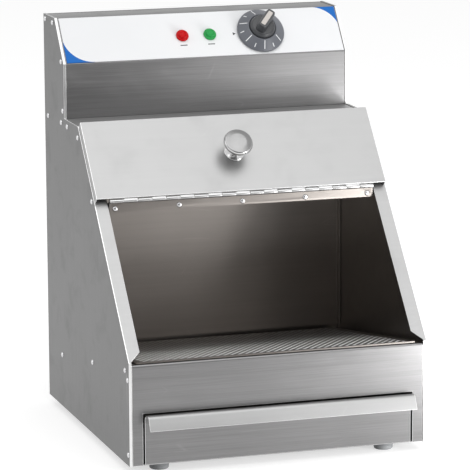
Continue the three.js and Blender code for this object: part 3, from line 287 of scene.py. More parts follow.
CARD_LEFT, CARD_RIGHT, CARD_DEPTH, CARD_TOP = -0.55, 0.36, -0.95, 0.75
card_grey = bpy.data.materials.new("card_grey")
card_grey.use_nodes = True
card_inputs = card_grey.node_tree.nodes["Principled BSDF"].inputs
card_inputs["Base Color"].default_value = grey(0.26)
card_inputs["Roughness"].default_value = 1.0
card = screen("shading_card", [
    (CARD_LEFT, CARD_DEPTH, 0.0), (CARD_RIGHT, CARD_DEPTH, 0.0),
    (CARD_RIGHT, CARD_DEPTH, CARD_TOP), (CARD_LEFT, CARD_DEPTH, CARD_TOP),
], card_grey)
card.visible_camera = False
card.visible_shadow = False
card.visible_diffuse = False

# %% [markdown]
# Three effects serve several finishes, so each is a node group: the fine grain of a brushing
# belt, which is noise squeezed across the grain and drawn out along it; cloudy variation from
# rolling and handling; and hairline scratches, the thin borders of stretched cells, broken up
# by noise.


# %% Shared effects
def effect(name, numbers, outputs):
    """A node group that takes a vector and numbers with their usual values, and its two ends."""
    group = bpy.data.node_groups.new(name, "ShaderNodeTree")
    group.interface.new_socket("Vector", in_out="INPUT", socket_type="NodeSocketVector")
    for label, usual in numbers.items():
        socket = group.interface.new_socket(label, in_out="INPUT", socket_type="NodeSocketFloat")
        socket.default_value = usual
    for label in outputs:
        group.interface.new_socket(label, in_out="OUTPUT", socket_type="NodeSocketFloat")
    return group, group.nodes.new("NodeGroupInput").outputs, group.nodes.new("NodeGroupOutput")


def use(tree, group, **inputs):
    """Places an effect group in a material, fills its inputs and gives its outputs."""
    return add(tree, "Group", inputs, node_tree=group).outputs


belt_grain, given, result = effect("belt_grain", {"Along": 14.0, "Across": 1900.0}, ("Streaks", "Bands"))
stretch = add(belt_grain, "CombineXYZ", {0: given["Along"], 1: given["Across"], 2: given["Across"]})
squeezed = vector_node(belt_grain, "MULTIPLY", given["Vector"], stretch.outputs[0])
streaks = noise(belt_grain, squeezed, 1.0, 3.0, Roughness=0.65)["Fac"]
fill(belt_grain, result, {"Streaks": streaks, "Bands": noise(belt_grain, squeezed, 0.13, 2.0)["Fac"]})

rolled_clouds, given, result = effect("rolled_clouds", {"Scale": 9.0}, ("Cloud", "Smudge"))
finer = times(rolled_clouds, given["Scale"], 3.7)
rubbed = noise(rolled_clouds, given["Vector"], finer, 5.0, Roughness=0.6, Distortion=0.4)["Fac"]
cloudy = noise(rolled_clouds, given["Vector"], given["Scale"], 3.0)["Fac"]
fill(rolled_clouds, result, {"Cloud": cloudy, "Smudge": ramp(rolled_clouds, rubbed, 0.52, 0.72)})

scratches, given, result = effect("hairline_scratches", {"Scale": 22.0}, ("Lines",))
bent = noise(scratches, given["Vector"], 5.0, 1.0)["Color"]
moved = vector_node(scratches, "ADD", given["Vector"], vector_node(scratches, "MULTIPLY", bent, (0.035,) * 3))
drawn = vector_node(scratches, "MULTIPLY", moved, (0.35, 1.0, 1.6))
cells = add(scratches, "TexVoronoi", {"Vector": drawn, "Scale": given["Scale"]}, feature="DISTANCE_TO_EDGE")
thin = ramp(scratches, cells.outputs["Distance"], 0.0, 0.012, low=1.0, high=0.0)
broken = ramp(scratches, noise(scratches, given["Vector"], 31.0, 1.0)["Fac"], 0.55, 0.66)
fill(scratches, result, {"Lines": times(scratches, thin, broken)})
print("effects:", [group.name for group in bpy.data.node_groups])


# %% [markdown]
# Sheet steel comes in several finishes: the cabinet's streaky sheet, the smoother ones of the
# sides, lid and hopper, a lighter copy that paints light on faces turned upwards, and a much
# lighter one that paints highlights on rounded edges. All are one recipe with other numbers.
# The grain runs along X, unless a Mapping node turns it upright.


# %% Sheet finishes
def blank(name):
    """An empty material, its node tree and the vector of its object's own coordinates."""
    material = bpy.data.materials.new(name)
    material.use_nodes = True
    material.node_tree.nodes.clear()
    return material, material.node_tree, add(material.node_tree, "TexCoord").outputs["Object"]


def settle(tree, colour, rough, metal=0.0, bump=None, specular=0.5, **others):
    """Gives a material its shader. The bump is a height, a strength and a depth in metres."""
    inputs = {"Base Color": colour, "Roughness": rough, "Metallic": metal, "Specular IOR Level": specular}
    if bump:
        relief = dict(zip(("Height", "Strength", "Distance"), bump))
        inputs["Normal"] = add(tree, "Bump", relief).outputs[0]
    shader = add(tree, "BsdfPrincipled", {**inputs, **others})
    add(tree, "OutputMaterial", {"Surface": shader.outputs[0]})


def sheet_steel(name, tint, rough, upright=False, streak=0.10, band=0.06, cloud=0.10, bump=0.10, lines=0.12):
    """Grained sheet: streaks, bands, clouds and scratches vary the tint, and streaks raise the bump."""
    material, tree, place = blank(name)
    turn = {"Vector": place, "Rotation": (0.0, math.pi / 2 if upright else 0.0, 0.0)}
    grained = use(tree, belt_grain, Vector=add(tree, "Mapping", turn).outputs[0])
    clouds = use(tree, rolled_clouds, Vector=place)
    shade = swing(tree, grained["Streaks"], 1.0, streak)
    shade = times(tree, shade, swing(tree, grained["Bands"], 1.0, band))
    shade = times(tree, shade, swing(tree, clouds["Cloud"], 1.0, cloud))
    shade = math_node(tree, "ADD", shade, times(tree, use(tree, scratches, Vector=place)["Lines"], lines))
    shade = add(tree, "CombineColor", {0: shade, 1: shade, 2: shade}).outputs[0]
    gloss = swing(tree, grained["Streaks"], rough, 0.05)
    gloss = math_node(tree, "ADD", gloss, times(tree, clouds["Smudge"], 0.05))
    colour = mixed(tree, 1.0, rgba(tint), shade, "MULTIPLY")
    settle(tree, colour, gloss, metal=1.0, bump=(grained["Streaks"], bump, 0.2 * MM))
    return material


DULL = {"cloud": 0.05, "bump": 0.06, "lines": 0.04}
SATIN = {"streak": 0.035, "band": 0.02, "cloud": 0.04, "bump": 0.05, "lines": 0.04}
cabinet_steel = sheet_steel("cabinet_steel", (0.225, 0.223, 0.224), 0.34, streak=0.28, band=0.10)
side_steel = sheet_steel("side_steel", (0.134,) * 3, 0.36, upright=True, streak=0.05, band=0.04, cloud=0.08)
lid_steel = sheet_steel("lid_steel", (0.35,) * 3, 0.42, **SATIN)
# Its warm brown tint is a painted reflection of fried food in the hopper.
hopper_steel = sheet_steel("hopper_steel", (0.245, 0.225, 0.209), 0.34, streak=0.06, band=0.05, bump=0.06)
hinge_steel = sheet_steel("hinge_steel", (0.48,) * 3, 0.28, streak=0.03, band=0.02, cloud=0.05)
# Painted light: a lighter copy of the steel for faces turned upwards, as if lit more from above.
top_light_steel = sheet_steel("top_light_steel", (0.365,) * 3, 0.46, streak=0.05, band=0.03, **DULL)
# Painted highlight: a much lighter steel for rounded edges, faces turned to the front and hole rims.
edge_highlight_steel = sheet_steel("edge_highlight_steel", (0.78,) * 3, 0.30, streak=0.04, band=0.03, **DULL)
print("sheet finishes ready")


# %% [markdown]
# The other finishes are plated metal, moulded plastic, rubber and ceramic. Each still has
# something of its own: plating has faint ripples, moulded plastic a fine skin texture, rubber a
# dusty bloom, the element a heat tint in patches, and the sleeves a woven pattern.


# %% Plated, moulded and fired finishes
def plated(name, tint, rough, ripple=0.02):
    """Plated metal: clouds vary the gloss a little, and very shallow ripples bend reflections."""
    material, tree, place = blank(name)
    clouds = use(tree, rolled_clouds, Vector=place, Scale=60.0)
    colour = mixed(tree, clouds["Cloud"], rgba(tint, 0.93), rgba(tint))
    gloss = ramp(tree, clouds["Smudge"], 0.0, 1.0, rough, rough + 0.10)
    settle(tree, colour, gloss, metal=1.0, bump=(clouds["Cloud"], ripple, 0.4 * MM))
    return material


DUST = (0.45, 0.44, 0.42, 1.0)


def moulded(name, tint, rough, texture=900.0, bump=0.12, vary=0.10, dust=0.0, specular=0.5):
    """Moulded plastic or rubber: a fine skin texture, cloudy tone, and dust where asked."""
    material, tree, place = blank(name)
    clouds = use(tree, rolled_clouds, Vector=place, Scale=35.0)
    skin = noise(tree, place, texture, 2.0)["Fac"]
    colour = mixed(tree, clouds["Cloud"], rgba(tint, 1.0 - vary), rgba(tint, 1.0 + vary))
    colour = mixed(tree, times(tree, clouds["Smudge"], dust), colour, DUST)
    settle(tree, colour, swing(tree, skin, rough, 0.06), bump=(skin, bump, 0.15 * MM), specular=specular)
    return material


chrome = plated("knob_chrome", (0.52, 0.52, 0.53), 0.10)
zinc = plated("zinc_fixings", (0.52, 0.52, 0.53), 0.28, ripple=0.05)
rivet_metal = plated("rivet_metal", (0.66, 0.66, 0.67), 0.22, ripple=0.03)
copper = plated("sensor_copper", (0.62, 0.33, 0.20), 0.30, ripple=0.06)
dial_plastic = moulded("dial_plastic", (0.115, 0.122, 0.140), 0.36, texture=1400.0)
dial_hub_plastic = moulded("dial_hub_plastic", (0.040, 0.042, 0.046), 0.34, texture=1400.0)
dial_mark_paint = moulded("dial_mark_paint", (0.80, 0.81, 0.82), 0.5, vary=0.04)
cream_plastic = moulded("cream_insert", (0.54, 0.505, 0.475), 0.45, texture=700.0, vary=0.05)
foot_rubber = moulded("foot_rubber", (0.34, 0.35, 0.36), 0.62, texture=500.0, bump=0.3, dust=0.25)
black_plastic = moulded("gland_plastic", (0.022, 0.022, 0.024), 0.38, dust=0.10)
ceramic = moulded("insulating_ceramic", (0.72, 0.69, 0.62), 0.80, texture=650.0, bump=0.25, vary=0.06)
GLOSSY_CAP = {"rough": 0.26, "texture": 300.0, "bump": 0.03, "specular": 0.15}
red_plastic = moulded("red_lamp", (0.52, 0.0, 0.002), **GLOSSY_CAP)
green_plastic = moulded("green_lamp", (0.024, 0.33, 0.075), **GLOSSY_CAP)

element_metal, tree, place = blank("element_sheath")
clouds = use(tree, rolled_clouds, Vector=place, Scale=24.0)
heat_tint = mixed(tree, clouds["Cloud"], (0.16, 0.14, 0.13, 1.0), (0.34, 0.30, 0.26, 1.0))
settle(tree, heat_tint, ramp(tree, clouds["Smudge"], 0.0, 1.0, 0.42, 0.60), metal=0.9)

sleeve, tree, place = blank("woven_sleeve")
mirrored = add(tree, "Mapping", {"Vector": place, "Scale": (1.0, -1.0, 1.0)}).outputs[0]
threads = [
    add(tree, "TexWave", {"Vector": way, "Scale": 260.0, "Distortion": bend}, bands_direction="DIAGONAL")
    for way, bend in ((place, 1.0), (mirrored, 0.0))
]
crossed = times(tree, threads[0].outputs["Fac"], threads[1].outputs["Fac"])
woven = mixed(tree, crossed, (0.30, 0.08, 0.05, 1.0), (0.52, 0.20, 0.14, 1.0))
settle(tree, woven, 0.85, bump=(crossed, 0.5, 0.2 * MM))
print("finishes:", len(bpy.data.materials))

# %% [markdown]
# The control panel is a white satin film. It is blue outside a round arc in its lower left
# corner and in its upper right one, and carries a small dark pointer beside the dial and a
# short plain dash under each lamp. It reads its own UV map: U is the distance from the middle
# and V the distance up the face, in metres, so each mark is a comparison of distances.


# %% Film of the control panel
LAMP_X = {"red": -24.0, "green": 8.0}
LAMP_ROW, DASH_ROW = 28.5, 16.6
DASH_HALF = (4.0, 0.6)
POINTER_TIP, POINTER_ROW, POINTER_LENGTH, POINTER_SLANT = 38.3, 28.4, 3.2, 0.62


def past(tree, value, place):
    """How far a distance in metres lies past a place in millimetres."""
    return math_node(tree, "SUBTRACT", value, place * MM)


def box_mask(tree, u, v, centre, half):
    """1 inside a rectangle: both distances from its centre are below the half sizes."""
    across, up = [
        math_node(tree, "LESS_THAN", math_node(tree, "ABSOLUTE", past(tree, value, middle)), limit * MM)
        for value, middle, limit in zip((u, v), centre, half)
    ]
    return times(tree, across, up)


def corner_mask(tree, u, v, centre, radius, side):
    """1 beyond an arc in a corner: past the centre both ways, and further from it than the radius."""
    across = times(tree, past(tree, u, centre[0]), side)
    up = times(tree, past(tree, v, centre[1]), side)
    square = math_node(tree, "ADD", times(tree, across, across), times(tree, up, up))
    far = math_node(tree, "GREATER_THAN", square, (radius * MM) ** 2)
    beyond = [math_node(tree, "GREATER_THAN", value, 0.0) for value in (across, up)]
    return times(tree, far, times(tree, *beyond))


film, tree, place = blank("control_film")
split = add(tree, "SeparateXYZ", {0: add(tree, "UVMap", uv_map="face_metres").outputs[0]})
u, v = split.outputs[0], split.outputs[1]
lower_left = corner_mask(tree, u, v, (-129.0, 33.0), 32.0, -1.0)
upper_right = corner_mask(tree, u, v, (131.0, 27.5), 31.0, 1.0)
dashes = [box_mask(tree, u, v, (x, DASH_ROW), DASH_HALF) for x in LAMP_X.values()]
reach = math_node(tree, "SUBTRACT", POINTER_TIP * MM, u)
off_row = math_node(tree, "ABSOLUTE", past(tree, v, POINTER_ROW))
pointer = math_node(tree, "LESS_THAN", off_row, times(tree, reach, POINTER_SLANT))
pointer = times(tree, pointer, math_node(tree, "LESS_THAN", reach, POINTER_LENGTH * MM))
pointer = times(tree, pointer, math_node(tree, "GREATER_THAN", reach, 0.0))
clouds = use(tree, rolled_clouds, Vector=place, Scale=16.0)
white = mixed(tree, clouds["Cloud"], (0.77, 0.78, 0.79, 1.0), (0.82, 0.825, 0.84, 1.0))
printed = mixed(tree, largest(tree, lower_left, upper_right), white, (0.002, 0.13, 0.48, 1.0))
printed = mixed(tree, largest(tree, *dashes, pointer), printed, (0.05, 0.05, 0.055, 1.0))
skin = noise(tree, place, 1800.0, 1.0)["Fac"]
settle(tree, printed, swing(tree, skin, 0.34, 0.06), bump=(skin, 0.04, 0.1 * MM), specular=0.2)
print("control film ready")

# %% [markdown]
# The sheet pieces keep the CAD's shape. A real sheet has no knife edge, so each one is a copy of
# the CAD mesh with its loose triangles joined, its flat areas merged, and a Bevel modifier that
# rounds every sharp edge by a fraction of a millimetre. On the outer sheets the rounds take a much
# lighter finish, a painted highlight. The side panels are folded along their slopes, and a
# fold has a wider round than a cut edge: each edge's bevel weight says which of the two it is.


# %% Softened sheets
FINISH_OF = {
    "brushed_cabinet_steel": cabinet_steel, "bright_sheet_steel": hopper_steel, "polished_chrome": chrome,
    "zinc_fixings": zinc, "overlay_film": film, "black_plastic": black_plastic, "red_lens": red_plastic,
    "green_lens": green_plastic, "slate_knob_plastic": dial_plastic, "cream_insert": cream_plastic,
    "grey_foot_rubber": foot_rubber, "element_sheath": element_metal, "copper_bulb": copper,
    "ceramic_block": ceramic, "wire_sleeve": sleeve,
}
BODY_OF = {node: body for body, nodes in frame["record"]["behaviour"]["bodies"].items() for node in nodes}
SLOT_OF = {row["node"]: row["material_slot"] for row in frame["record"]["subparts"]}
EDGE_ROUND, BRIGHT_ROUND, FOLD_ROUND = 0.3, 0.45, 1.3
FLANGE_WIDTH = 4.0


def dress(made, body, stands_for=()):
    """Links a finished piece, lets it ride on its body, and hides the CAD nodes it replaces."""
    scene.collection.objects.link(made)
    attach(made, body)
    if stands_for:
        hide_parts(*stands_for)
    return made


def read(items, name, width=1, kind=float):
    """One attribute of many mesh elements as an array, with a row for each of them."""
    values = np.empty(len(items) * width, dtype=kind)
    items.foreach_get(name, values)
    return values.reshape(-1, width) if width > 1 else values


def weigh_edges(mesh, smooth, narrow):
    """Bevel weights: 1 on the folds beside a flange, narrow on the other sharp edges, 0 elsewhere.

    A fold joins a side face, which is SIDE_FACE from the middle and faces along X, to a flange
    that leans up to the front and is over FLANGE_WIDTH wide.
    """
    normals, areas = read(mesh.polygons, "normal", 3), read(mesh.polygons, "area")
    owner = np.repeat(np.arange(len(areas)), read(mesh.polygons, "loop_total", kind=np.int32))
    beside = owner[np.argsort(read(mesh.loops, "edge_index", kind=np.int32), kind="stable")].reshape(-1, 2)
    ends = read(mesh.vertices, "co", 3)[read(mesh.edges, "vertices", 2, np.int32)]
    lengths = np.linalg.norm(ends[:, 0] - ends[:, 1], axis=1)
    sharp = (normals[beside[:, 0]] * normals[beside[:, 1]]).sum(axis=1) < math.cos(math.radians(smooth))
    side = np.abs(normals[beside, 0]) > 0.99
    outer = np.abs(ends[..., 0]).min(axis=1) > (SIDE_FACE - 0.1) * MM
    wide = areas[beside] / lengths[:, None] > FLANGE_WIDTH * MM
    flange = (normals[beside, 2] > 0.3) & (normals[beside, 1] < -0.3) & wide
    fold = sharp & outer & side.any(axis=1) & flange.any(axis=1)
    weights = np.where(fold, 1.0, np.where(sharp, narrow, 0.0))
    mesh.attributes.new("bevel_weight_edge", "FLOAT", "EDGE").data.foreach_set("value", weights)
    print("folds:", int(fold.sum()), "of", int(sharp.sum()), "sharp edges")


def softened(node, material, finishes=(), round_mm=EDGE_ROUND, smooth=35.0, hem=None, folded=None):
    """A merged copy of a CAD sheet with its edges rounded.

    finishes lists (material, test): faces whose normal passes the test take that material instead.
    hem is the material of the rounded edges, where it isn't that of the faces beside them.
    folded is the radius in mm of the folds between an upright side face and a wide flange.
    """
    mesh = frame["nodes"][node].data.copy()
    mesh.name = node + "_sheet"
    build = bmesh.new()
    build.from_mesh(mesh)
    bmesh.ops.remove_doubles(build, verts=build.verts, dist=1e-5)
    bmesh.ops.dissolve_limit(build, angle_limit=math.radians(0.4), verts=build.verts, edges=build.edges)
    build.to_mesh(mesh)
    build.free()
    slots = list(dict.fromkeys([material, *[finish for finish, test in finishes], *([hem] if hem else [])]))
    mesh.materials.clear()
    for finish in slots:
        mesh.materials.append(finish)
    mesh.shade_smooth()
    mesh.set_sharp_from_angle(angle=math.radians(smooth))
    normals = read(mesh.polygons, "normal", 3).T
    index = np.zeros(len(mesh.polygons), dtype=np.int32)
    for finish, test in finishes:
        index[test(*normals)] = slots.index(finish)
    mesh.polygons.foreach_set("material_index", index)
    if folded:
        weigh_edges(mesh, smooth, round_mm / folded)
    made = bpy.data.objects.new(node + "_sheet", mesh)
    edge = made.modifiers.new("rounded edges", "BEVEL")
    edge.width = (folded or round_mm) * MM
    edge.segments = 4 if folded else 2
    edge.limit_method = "WEIGHT" if folded else "ANGLE"
    edge.angle_limit = math.radians(smooth)
    edge.harden_normals = True
    if hem:
        edge.material = slots.index(hem)
    return dress(made, BODY_OF[node], [node])


SHEETS = [
    node for node, slot in SLOT_OF.items()
    if slot in ("brushed_cabinet_steel", "bright_sheet_steel") and node != "perforated_plate"
]
OWN_FINISH = {
    # The whole deck takes the lighter top-light steel: painted light.
    "side_panel_left": side_steel, "side_panel_right": side_steel, "deck": top_light_steel,
    "lid_panel": lid_steel, "hinge_leaf_lid": hinge_steel,
}
# A test reads the three parts of the normals: -y is the front, and z is up.
# Faces turned up take the lighter top-light steel: painted light.
lit_facing_up = (top_light_steel, lambda x, y, z: z > 0.25)
# The head's hem faces, turned front and up, take the light hinge steel: a painted highlight.
head_hem_highlight = (hinge_steel, lambda x, y, z: (y < -0.77) & (z > 0.25))
# Faces turned to the front take the much lighter edge steel: a painted highlight.
front_face_highlight = (edge_highlight_steel, lambda x, y, z: y < -0.9)
PART_FINISHES = {
    "side_panel_left": [(hopper_steel, lambda x, y, z: x > 0.9), lit_facing_up, head_hem_highlight, front_face_highlight],
    "side_panel_right": [(hopper_steel, lambda x, y, z: x < -0.9), lit_facing_up, head_hem_highlight, front_face_highlight],
    "drawer_front": [lit_facing_up],
    # The head's top faces take the darker side steel: painted shade.
    "head_cover": [(side_steel, lambda x, y, z: z > 0.9)],
    # The back's faces turned up and back take the lighter top-light steel too: painted light.
    "back_panel": [(top_light_steel, lambda x, y, z: (y > 0.3) & (z > 0.25))],
}
# The rounded edges of these sheets take the much lighter edge steel: a painted highlight.
BRIGHT_EDGED = ("side_panel_left", "side_panel_right", "lid_panel", "front_fascia", "drawer_front", "deck")
for node in SHEETS:
    look = {"finishes": PART_FINISHES.get(node, ())}
    if node == "back_panel":
        look.update(smooth=20.0)
    if node in BRIGHT_EDGED:
        look.update(round_mm=BRIGHT_ROUND, hem=edge_highlight_steel)
    if node.startswith("side_panel"):
        look.update(folded=FOLD_ROUND)
    softened(node, OWN_FINISH.get(node, FINISH_OF[SLOT_OF[node]]), **look)
print("softened sheets:", len(SHEETS))

# %% [markdown]
# The film keeps the CAD's shape too. In its UV map U is a corner's X, and V is its distance up
# the leaning face: the dot product of its offset from the foot line with the face's upward
# direction.

# %% Control film on the head
mesh = softened("control_overlay", film, round_mm=0.2).data
corners = read(mesh.vertices, "co", 3)
upward = np.array([0.0, math.cos(CONTROLS[2]), math.sin(CONTROLS[2])])
face_uv = np.stack([corners[:, 0], (corners - leaning([0.0, 0.0, 0.0], CONTROLS)) @ upward], axis=-1)
mesh.uv_layers.new(name="face_metres")
owner = read(mesh.loops, "vertex_index", kind=int)
mesh.uv_layers["face_metres"].data.foreach_set("uv", face_uv[owner].ravel())
print("film reaches from", face_uv.min(0).round(4), "to", face_uv.max(0).round(4))


# %% [markdown]
# Turned and moulded pieces are grids of points, round the piece one way and along its profile
# the other, so the faces are always the same pattern of neighbours. Where a profile ends on the
# axis, its ring of equal points is merged to one, which closes the pole.


# %% Surfaces from grids
def grid_faces(rows, columns):
    """Quads between neighbouring rows and columns; the last column joins the first."""
    row, column = np.meshgrid(np.arange(rows - 1), np.arange(columns), indexing="ij")
    beside = (column + 1) % columns
    near, far = row * columns, (row + 1) * columns
    return np.stack([near + column, near + beside, far + beside, far + column], axis=-1).reshape(-1, 4)


def closed_mesh(name, points, faces, materials, smooth):
    """A mesh with its equal points merged and its faces turned outwards, smooth up to an angle."""
    mesh = bpy.data.meshes.new(name)
    mesh.from_pydata(points.tolist(), [], faces)
    build = bmesh.new()
    build.from_mesh(mesh)
    bmesh.ops.remove_doubles(build, verts=build.verts, dist=2e-6)
    bmesh.ops.recalc_face_normals(build, faces=build.faces)
    build.to_mesh(mesh)
    build.free()
    for material in materials:
        mesh.materials.append(material)
    mesh.shade_smooth()
    mesh.set_sharp_from_angle(angle=math.radians(smooth))
    return mesh


def surface(name, grids, body, material, stands_for=(), smooth=38.0):
    """Joins grids of points in metres into one finished piece."""
    points, faces, start = [], [], 0
    for grid in grids:
        points.append(grid.reshape(-1, 3))
        faces.append(grid_faces(*grid.shape[:2]) + start)
        start += len(points[-1])
    mesh = closed_mesh(name, np.concatenate(points), np.concatenate(faces).tolist(), [material], smooth)
    dress(bpy.data.objects.new(name, mesh), body, stands_for)


def rounded(profile, radius, steps=4):
    """Rounds a profile's inner corners: each is swapped for a curve between points on its two arms.

    With the corner P and the points A and B on its arms, the curve is
    (1-t)^2 A + 2t(1-t) P + t^2 B for t from 0 to 1. A cut stops short of the middle of an arm.
    """
    profile = np.asarray(profile, dtype=float)
    before, corner, after = profile[:-2], profile[1:-1], profile[2:]
    back, ahead = before - corner, after - corner
    back_length, ahead_length = np.linalg.norm(back, axis=1), np.linalg.norm(ahead, axis=1)
    cut = np.minimum(radius, 0.45 * np.minimum(back_length, ahead_length))[:, None]
    a = corner + back / back_length[:, None] * cut
    b = corner + ahead / ahead_length[:, None] * cut
    t = np.linspace(0.0, 1.0, steps)[None, :, None]
    curve = (1 - t) ** 2 * a[:, None] + 2 * t * (1 - t) * corner[:, None] + t**2 * b[:, None]
    return np.concatenate([profile[:1], curve.reshape(-1, 2), profile[-1:]])


def turned(profile, sides=64):
    """A lathe: the profile (radius, height) goes round, x = r cos(angle), y = r sin(angle), z = height."""
    angle = np.linspace(0.0, 2 * math.pi, sides, endpoint=False)
    radius, height = np.asarray(profile, dtype=float).T[..., None]
    return xyz(radius * np.cos(angle), radius * np.sin(angle), height)


def swept(path, normal, radius, sides):
    """A tube: each ring is the path's point plus r cos(angle) side + r sin(angle) normal."""
    heading = np.gradient(path, axis=0)
    heading /= np.linalg.norm(heading, axis=1, keepdims=True)
    side = np.cross(heading, normal)
    side /= np.linalg.norm(side, axis=1, keepdims=True)
    angle = np.linspace(0.0, 2 * math.pi, sides, endpoint=False)[:, None]
    tube = path[:, None] + radius * (np.cos(angle) * side[:, None] + np.sin(angle) * np.asarray(normal))
    start, end = np.broadcast_to(path[0], tube[:1].shape), np.broadcast_to(path[-1], tube[:1].shape)
    return np.concatenate([start, tube, end])


print("a quarter turn of grid faces:", grid_faces(2, 4).tolist())

# %% [markdown]
# Closed rivets hold the side panels to the sheets inside. One low dome is turned, and a copy of
# its array is carried to each place. The heads of one sheet are one piece.

# %% Rivet domes on the side panels and the hinge
PIN = (123.7227, 259.2324)
LEAF_FRONT, LEAF_RIVETS_DOWN, LEAF_RIVET_PITCH = PIN[0] + 1.4, 8.2, 71.5
SIDE_RIVETS = (
    (327.0, 432.2), (295.7, 431.5), (260.2, 392.5), (255.6, 338.6), (320.0, 324.0), (263.0, 324.8),
    (237.5, 323.8), (193.4, 318.5), (138.41, 257.94), (4.4, 92.4), (4.4, 12.3), (14.28, 100.91),
    (143.75, 80.41), (272.95, 59.94),
)
dome = turned(rounded([(0.0, -0.2), (2.95, -0.2), (2.95, 0.35), (2.1, 1.2), (0.0, 1.42)], 0.6, 5), 28)
across, up, out = np.moveaxis(dome, -1, 0)
for name, side in (("left", -1.0), ("right", 1.0)):
    heads = [in_cabinet(xyz(side * (SIDE_FACE + out), y + across, z + up)) for y, z in SIDE_RIVETS]
    surface("side_rivets_" + name, heads, "cabinet", rivet_metal)
heads = [
    in_cabinet(xyz(x + across, LEAF_FRONT - out, PIN[1] - LEAF_RIVETS_DOWN + up))
    for x in LEAF_RIVET_PITCH * np.arange(-2, 3)
]
surface("hinge_rivets", heads, "cabinet", rivet_metal)
print("rivets on each side panel:", len(SIDE_RIVETS), "and on the hinge:", len(heads))

# %% [markdown]
# A piano hinge is a row of short barrels rolled round one long pin, taken in turn by the fixed
# leaf and by the lid's leaf. A barrel is a lathe shape laid along X. Barrels of one leaf are one
# piece, so they swing together.

# %% Hinge barrels
KNUCKLES, HINGE_LENGTH, KNUCKLE_GAP = 19, 299.0, 0.3
pitch = HINGE_LENGTH / KNUCKLES
length = pitch - KNUCKLE_GAP
barrel = turned(rounded([(0.0, 0.0), (2.3, 0.0), (2.3, length), (0.0, length)], 0.35, 4), 28)
across, up, along = np.moveaxis(barrel, -1, 0)
for first, body, name in ((0, "cabinet", "hinge_barrels_fixed"), (1, "lid", "hinge_barrels_lid")):
    starts = np.arange(first, KNUCKLES, 2) * pitch + (KNUCKLE_GAP - HINGE_LENGTH) / 2
    row = [in_cabinet(xyz(start + along, PIN[0] + across, PIN[1] + up)) for start in starts]
    surface(name, row, body, hinge_steel)
print("knuckle pitch in mm:", round(pitch, 2))

# %% [markdown]
# The floor of the hopper is a loose plate pierced by about fourteen hundred small holes in
# staggered rows. A boolean for each would be slow and leave poor faces. Instead every hole sits
# in its own small rectangular cell of twelve points outside and twelve round the hole. Cells of
# a row share their sides, and because a cell's long edge is cut in quarters, the cells of the
# next row meet it point to point though they are shifted by half a cell. The holes are
# countersunk, and their slanting rims take the much lighter edge steel: partly the bare metal of a
# drilled edge, partly a painted glint.

# %% Perforated floor plate
HOLE_PITCH, HOLE_RADIUS, ROWS = 8.0, 2.0, 37
ROW_PITCH = HOLE_PITCH * math.sin(math.pi / 3)
PLATE_HALF, PLATE_FRONT, PLATE_REAR, CORNER_CUT = 156.0, -3.0, 267.3, 3.0
PLATE_LOW, PLATE_HIGH, RIM_DEPTH, RIM_WIDENS = 0.3, 1.8, 0.5, 1.24
COLUMNS_EACH_WAY = 18
edge_x = np.array([2.0, 2.0, 1.0, 0.0, -1.0, -2.0, -2.0, -2.0, -1.0, 0.0, 1.0, 2.0]) * HOLE_PITCH / 4
edge_s = np.array([0.0, 1.0, 1.0, 1.0, 1.0, 1.0, 0.0, -1.0, -1.0, -1.0, -1.0, -1.0]) * ROW_PITCH / 2
turn = np.arange(12) * math.pi / 6
hole_x, hole_s = HOLE_RADIUS * np.cos(turn), HOLE_RADIUS * np.sin(turn)
cell = np.stack([
    xyz(edge_x, edge_s, PLATE_HIGH),
    xyz(RIM_WIDENS * hole_x, RIM_WIDENS * hole_s, PLATE_HIGH),
    xyz(hole_x, hole_s, PLATE_HIGH - RIM_DEPTH),
    xyz(hole_x, hole_s, PLATE_LOW),
    xyz(edge_x, edge_s, PLATE_LOW),
])
row_edge = (PLATE_FRONT + PLATE_REAR - ROWS * ROW_PITCH) / 2 + np.arange(ROWS + 1) * ROW_PITCH
row_middle = row_edge[:-1] + ROW_PITCH / 2
even_x = np.arange(-COLUMNS_EACH_WAY, COLUMNS_EACH_WAY + 1) * HOLE_PITCH
odd_x = even_x[:-1] + HOLE_PITCH / 2
centres = np.concatenate([xyz(odd_x if k % 2 else even_x, s, 0.0) for k, s in enumerate(row_middle)])
plate_points = [(centres[:, None, None] + cell).reshape(-1, 3)]
count = len(plate_points[0])
starts = np.arange(0, count, cell[..., 0].size)[:, None, None]
plate_faces = (grid_faces(*cell.shape[:2]) + starts).reshape(-1, 4).tolist()

# The plain margin: one outline of points per row at each side, and one in front and behind.
margins = []
holes_end = even_x[-1] + HOLE_PITCH / 2
steps = holes_end - HOLE_PITCH / 4 * np.arange(3)
for k, (low, middle, high) in enumerate(zip(row_edge, row_middle, row_edge[1:])):
    ragged = [(steps[0], low), (steps[0], middle), (steps[0], high)]
    if k % 2:
        ragged = [*xyz(steps, low), (steps[2], middle), *xyz(steps[::-1], high)]
    outline = np.array([(PLATE_HALF, low), *ragged, (PLATE_HALF, high)])[::-1]
    margins += [outline, (outline * (-1.0, 1.0))[::-1]]
hole_columns = np.linspace(-holes_end, holes_end, 4 * (2 * COLUMNS_EACH_WAY + 1) + 1)
front_line = np.concatenate([[-PLATE_HALF], hole_columns, [PLATE_HALF]])
shoulder = PLATE_HALF - CORNER_CUT
front_corners = [(PLATE_HALF, 0.0), (shoulder, PLATE_FRONT), (-shoulder, PLATE_FRONT), (-PLATE_HALF, 0.0)]
rear_corners = [(PLATE_HALF, PLATE_REAR), (-PLATE_HALF, PLATE_REAR)]
margins.append(np.concatenate([xyz(front_line, row_edge[0]), front_corners])[::-1])
margins.append(np.concatenate([xyz(front_line, row_edge[-1]), rear_corners]))
sides = xyz(PLATE_HALF, row_edge)
rim = np.concatenate([sides, rear_corners, (sides * (-1.0, 1.0))[::-1], front_corners[::-1]])

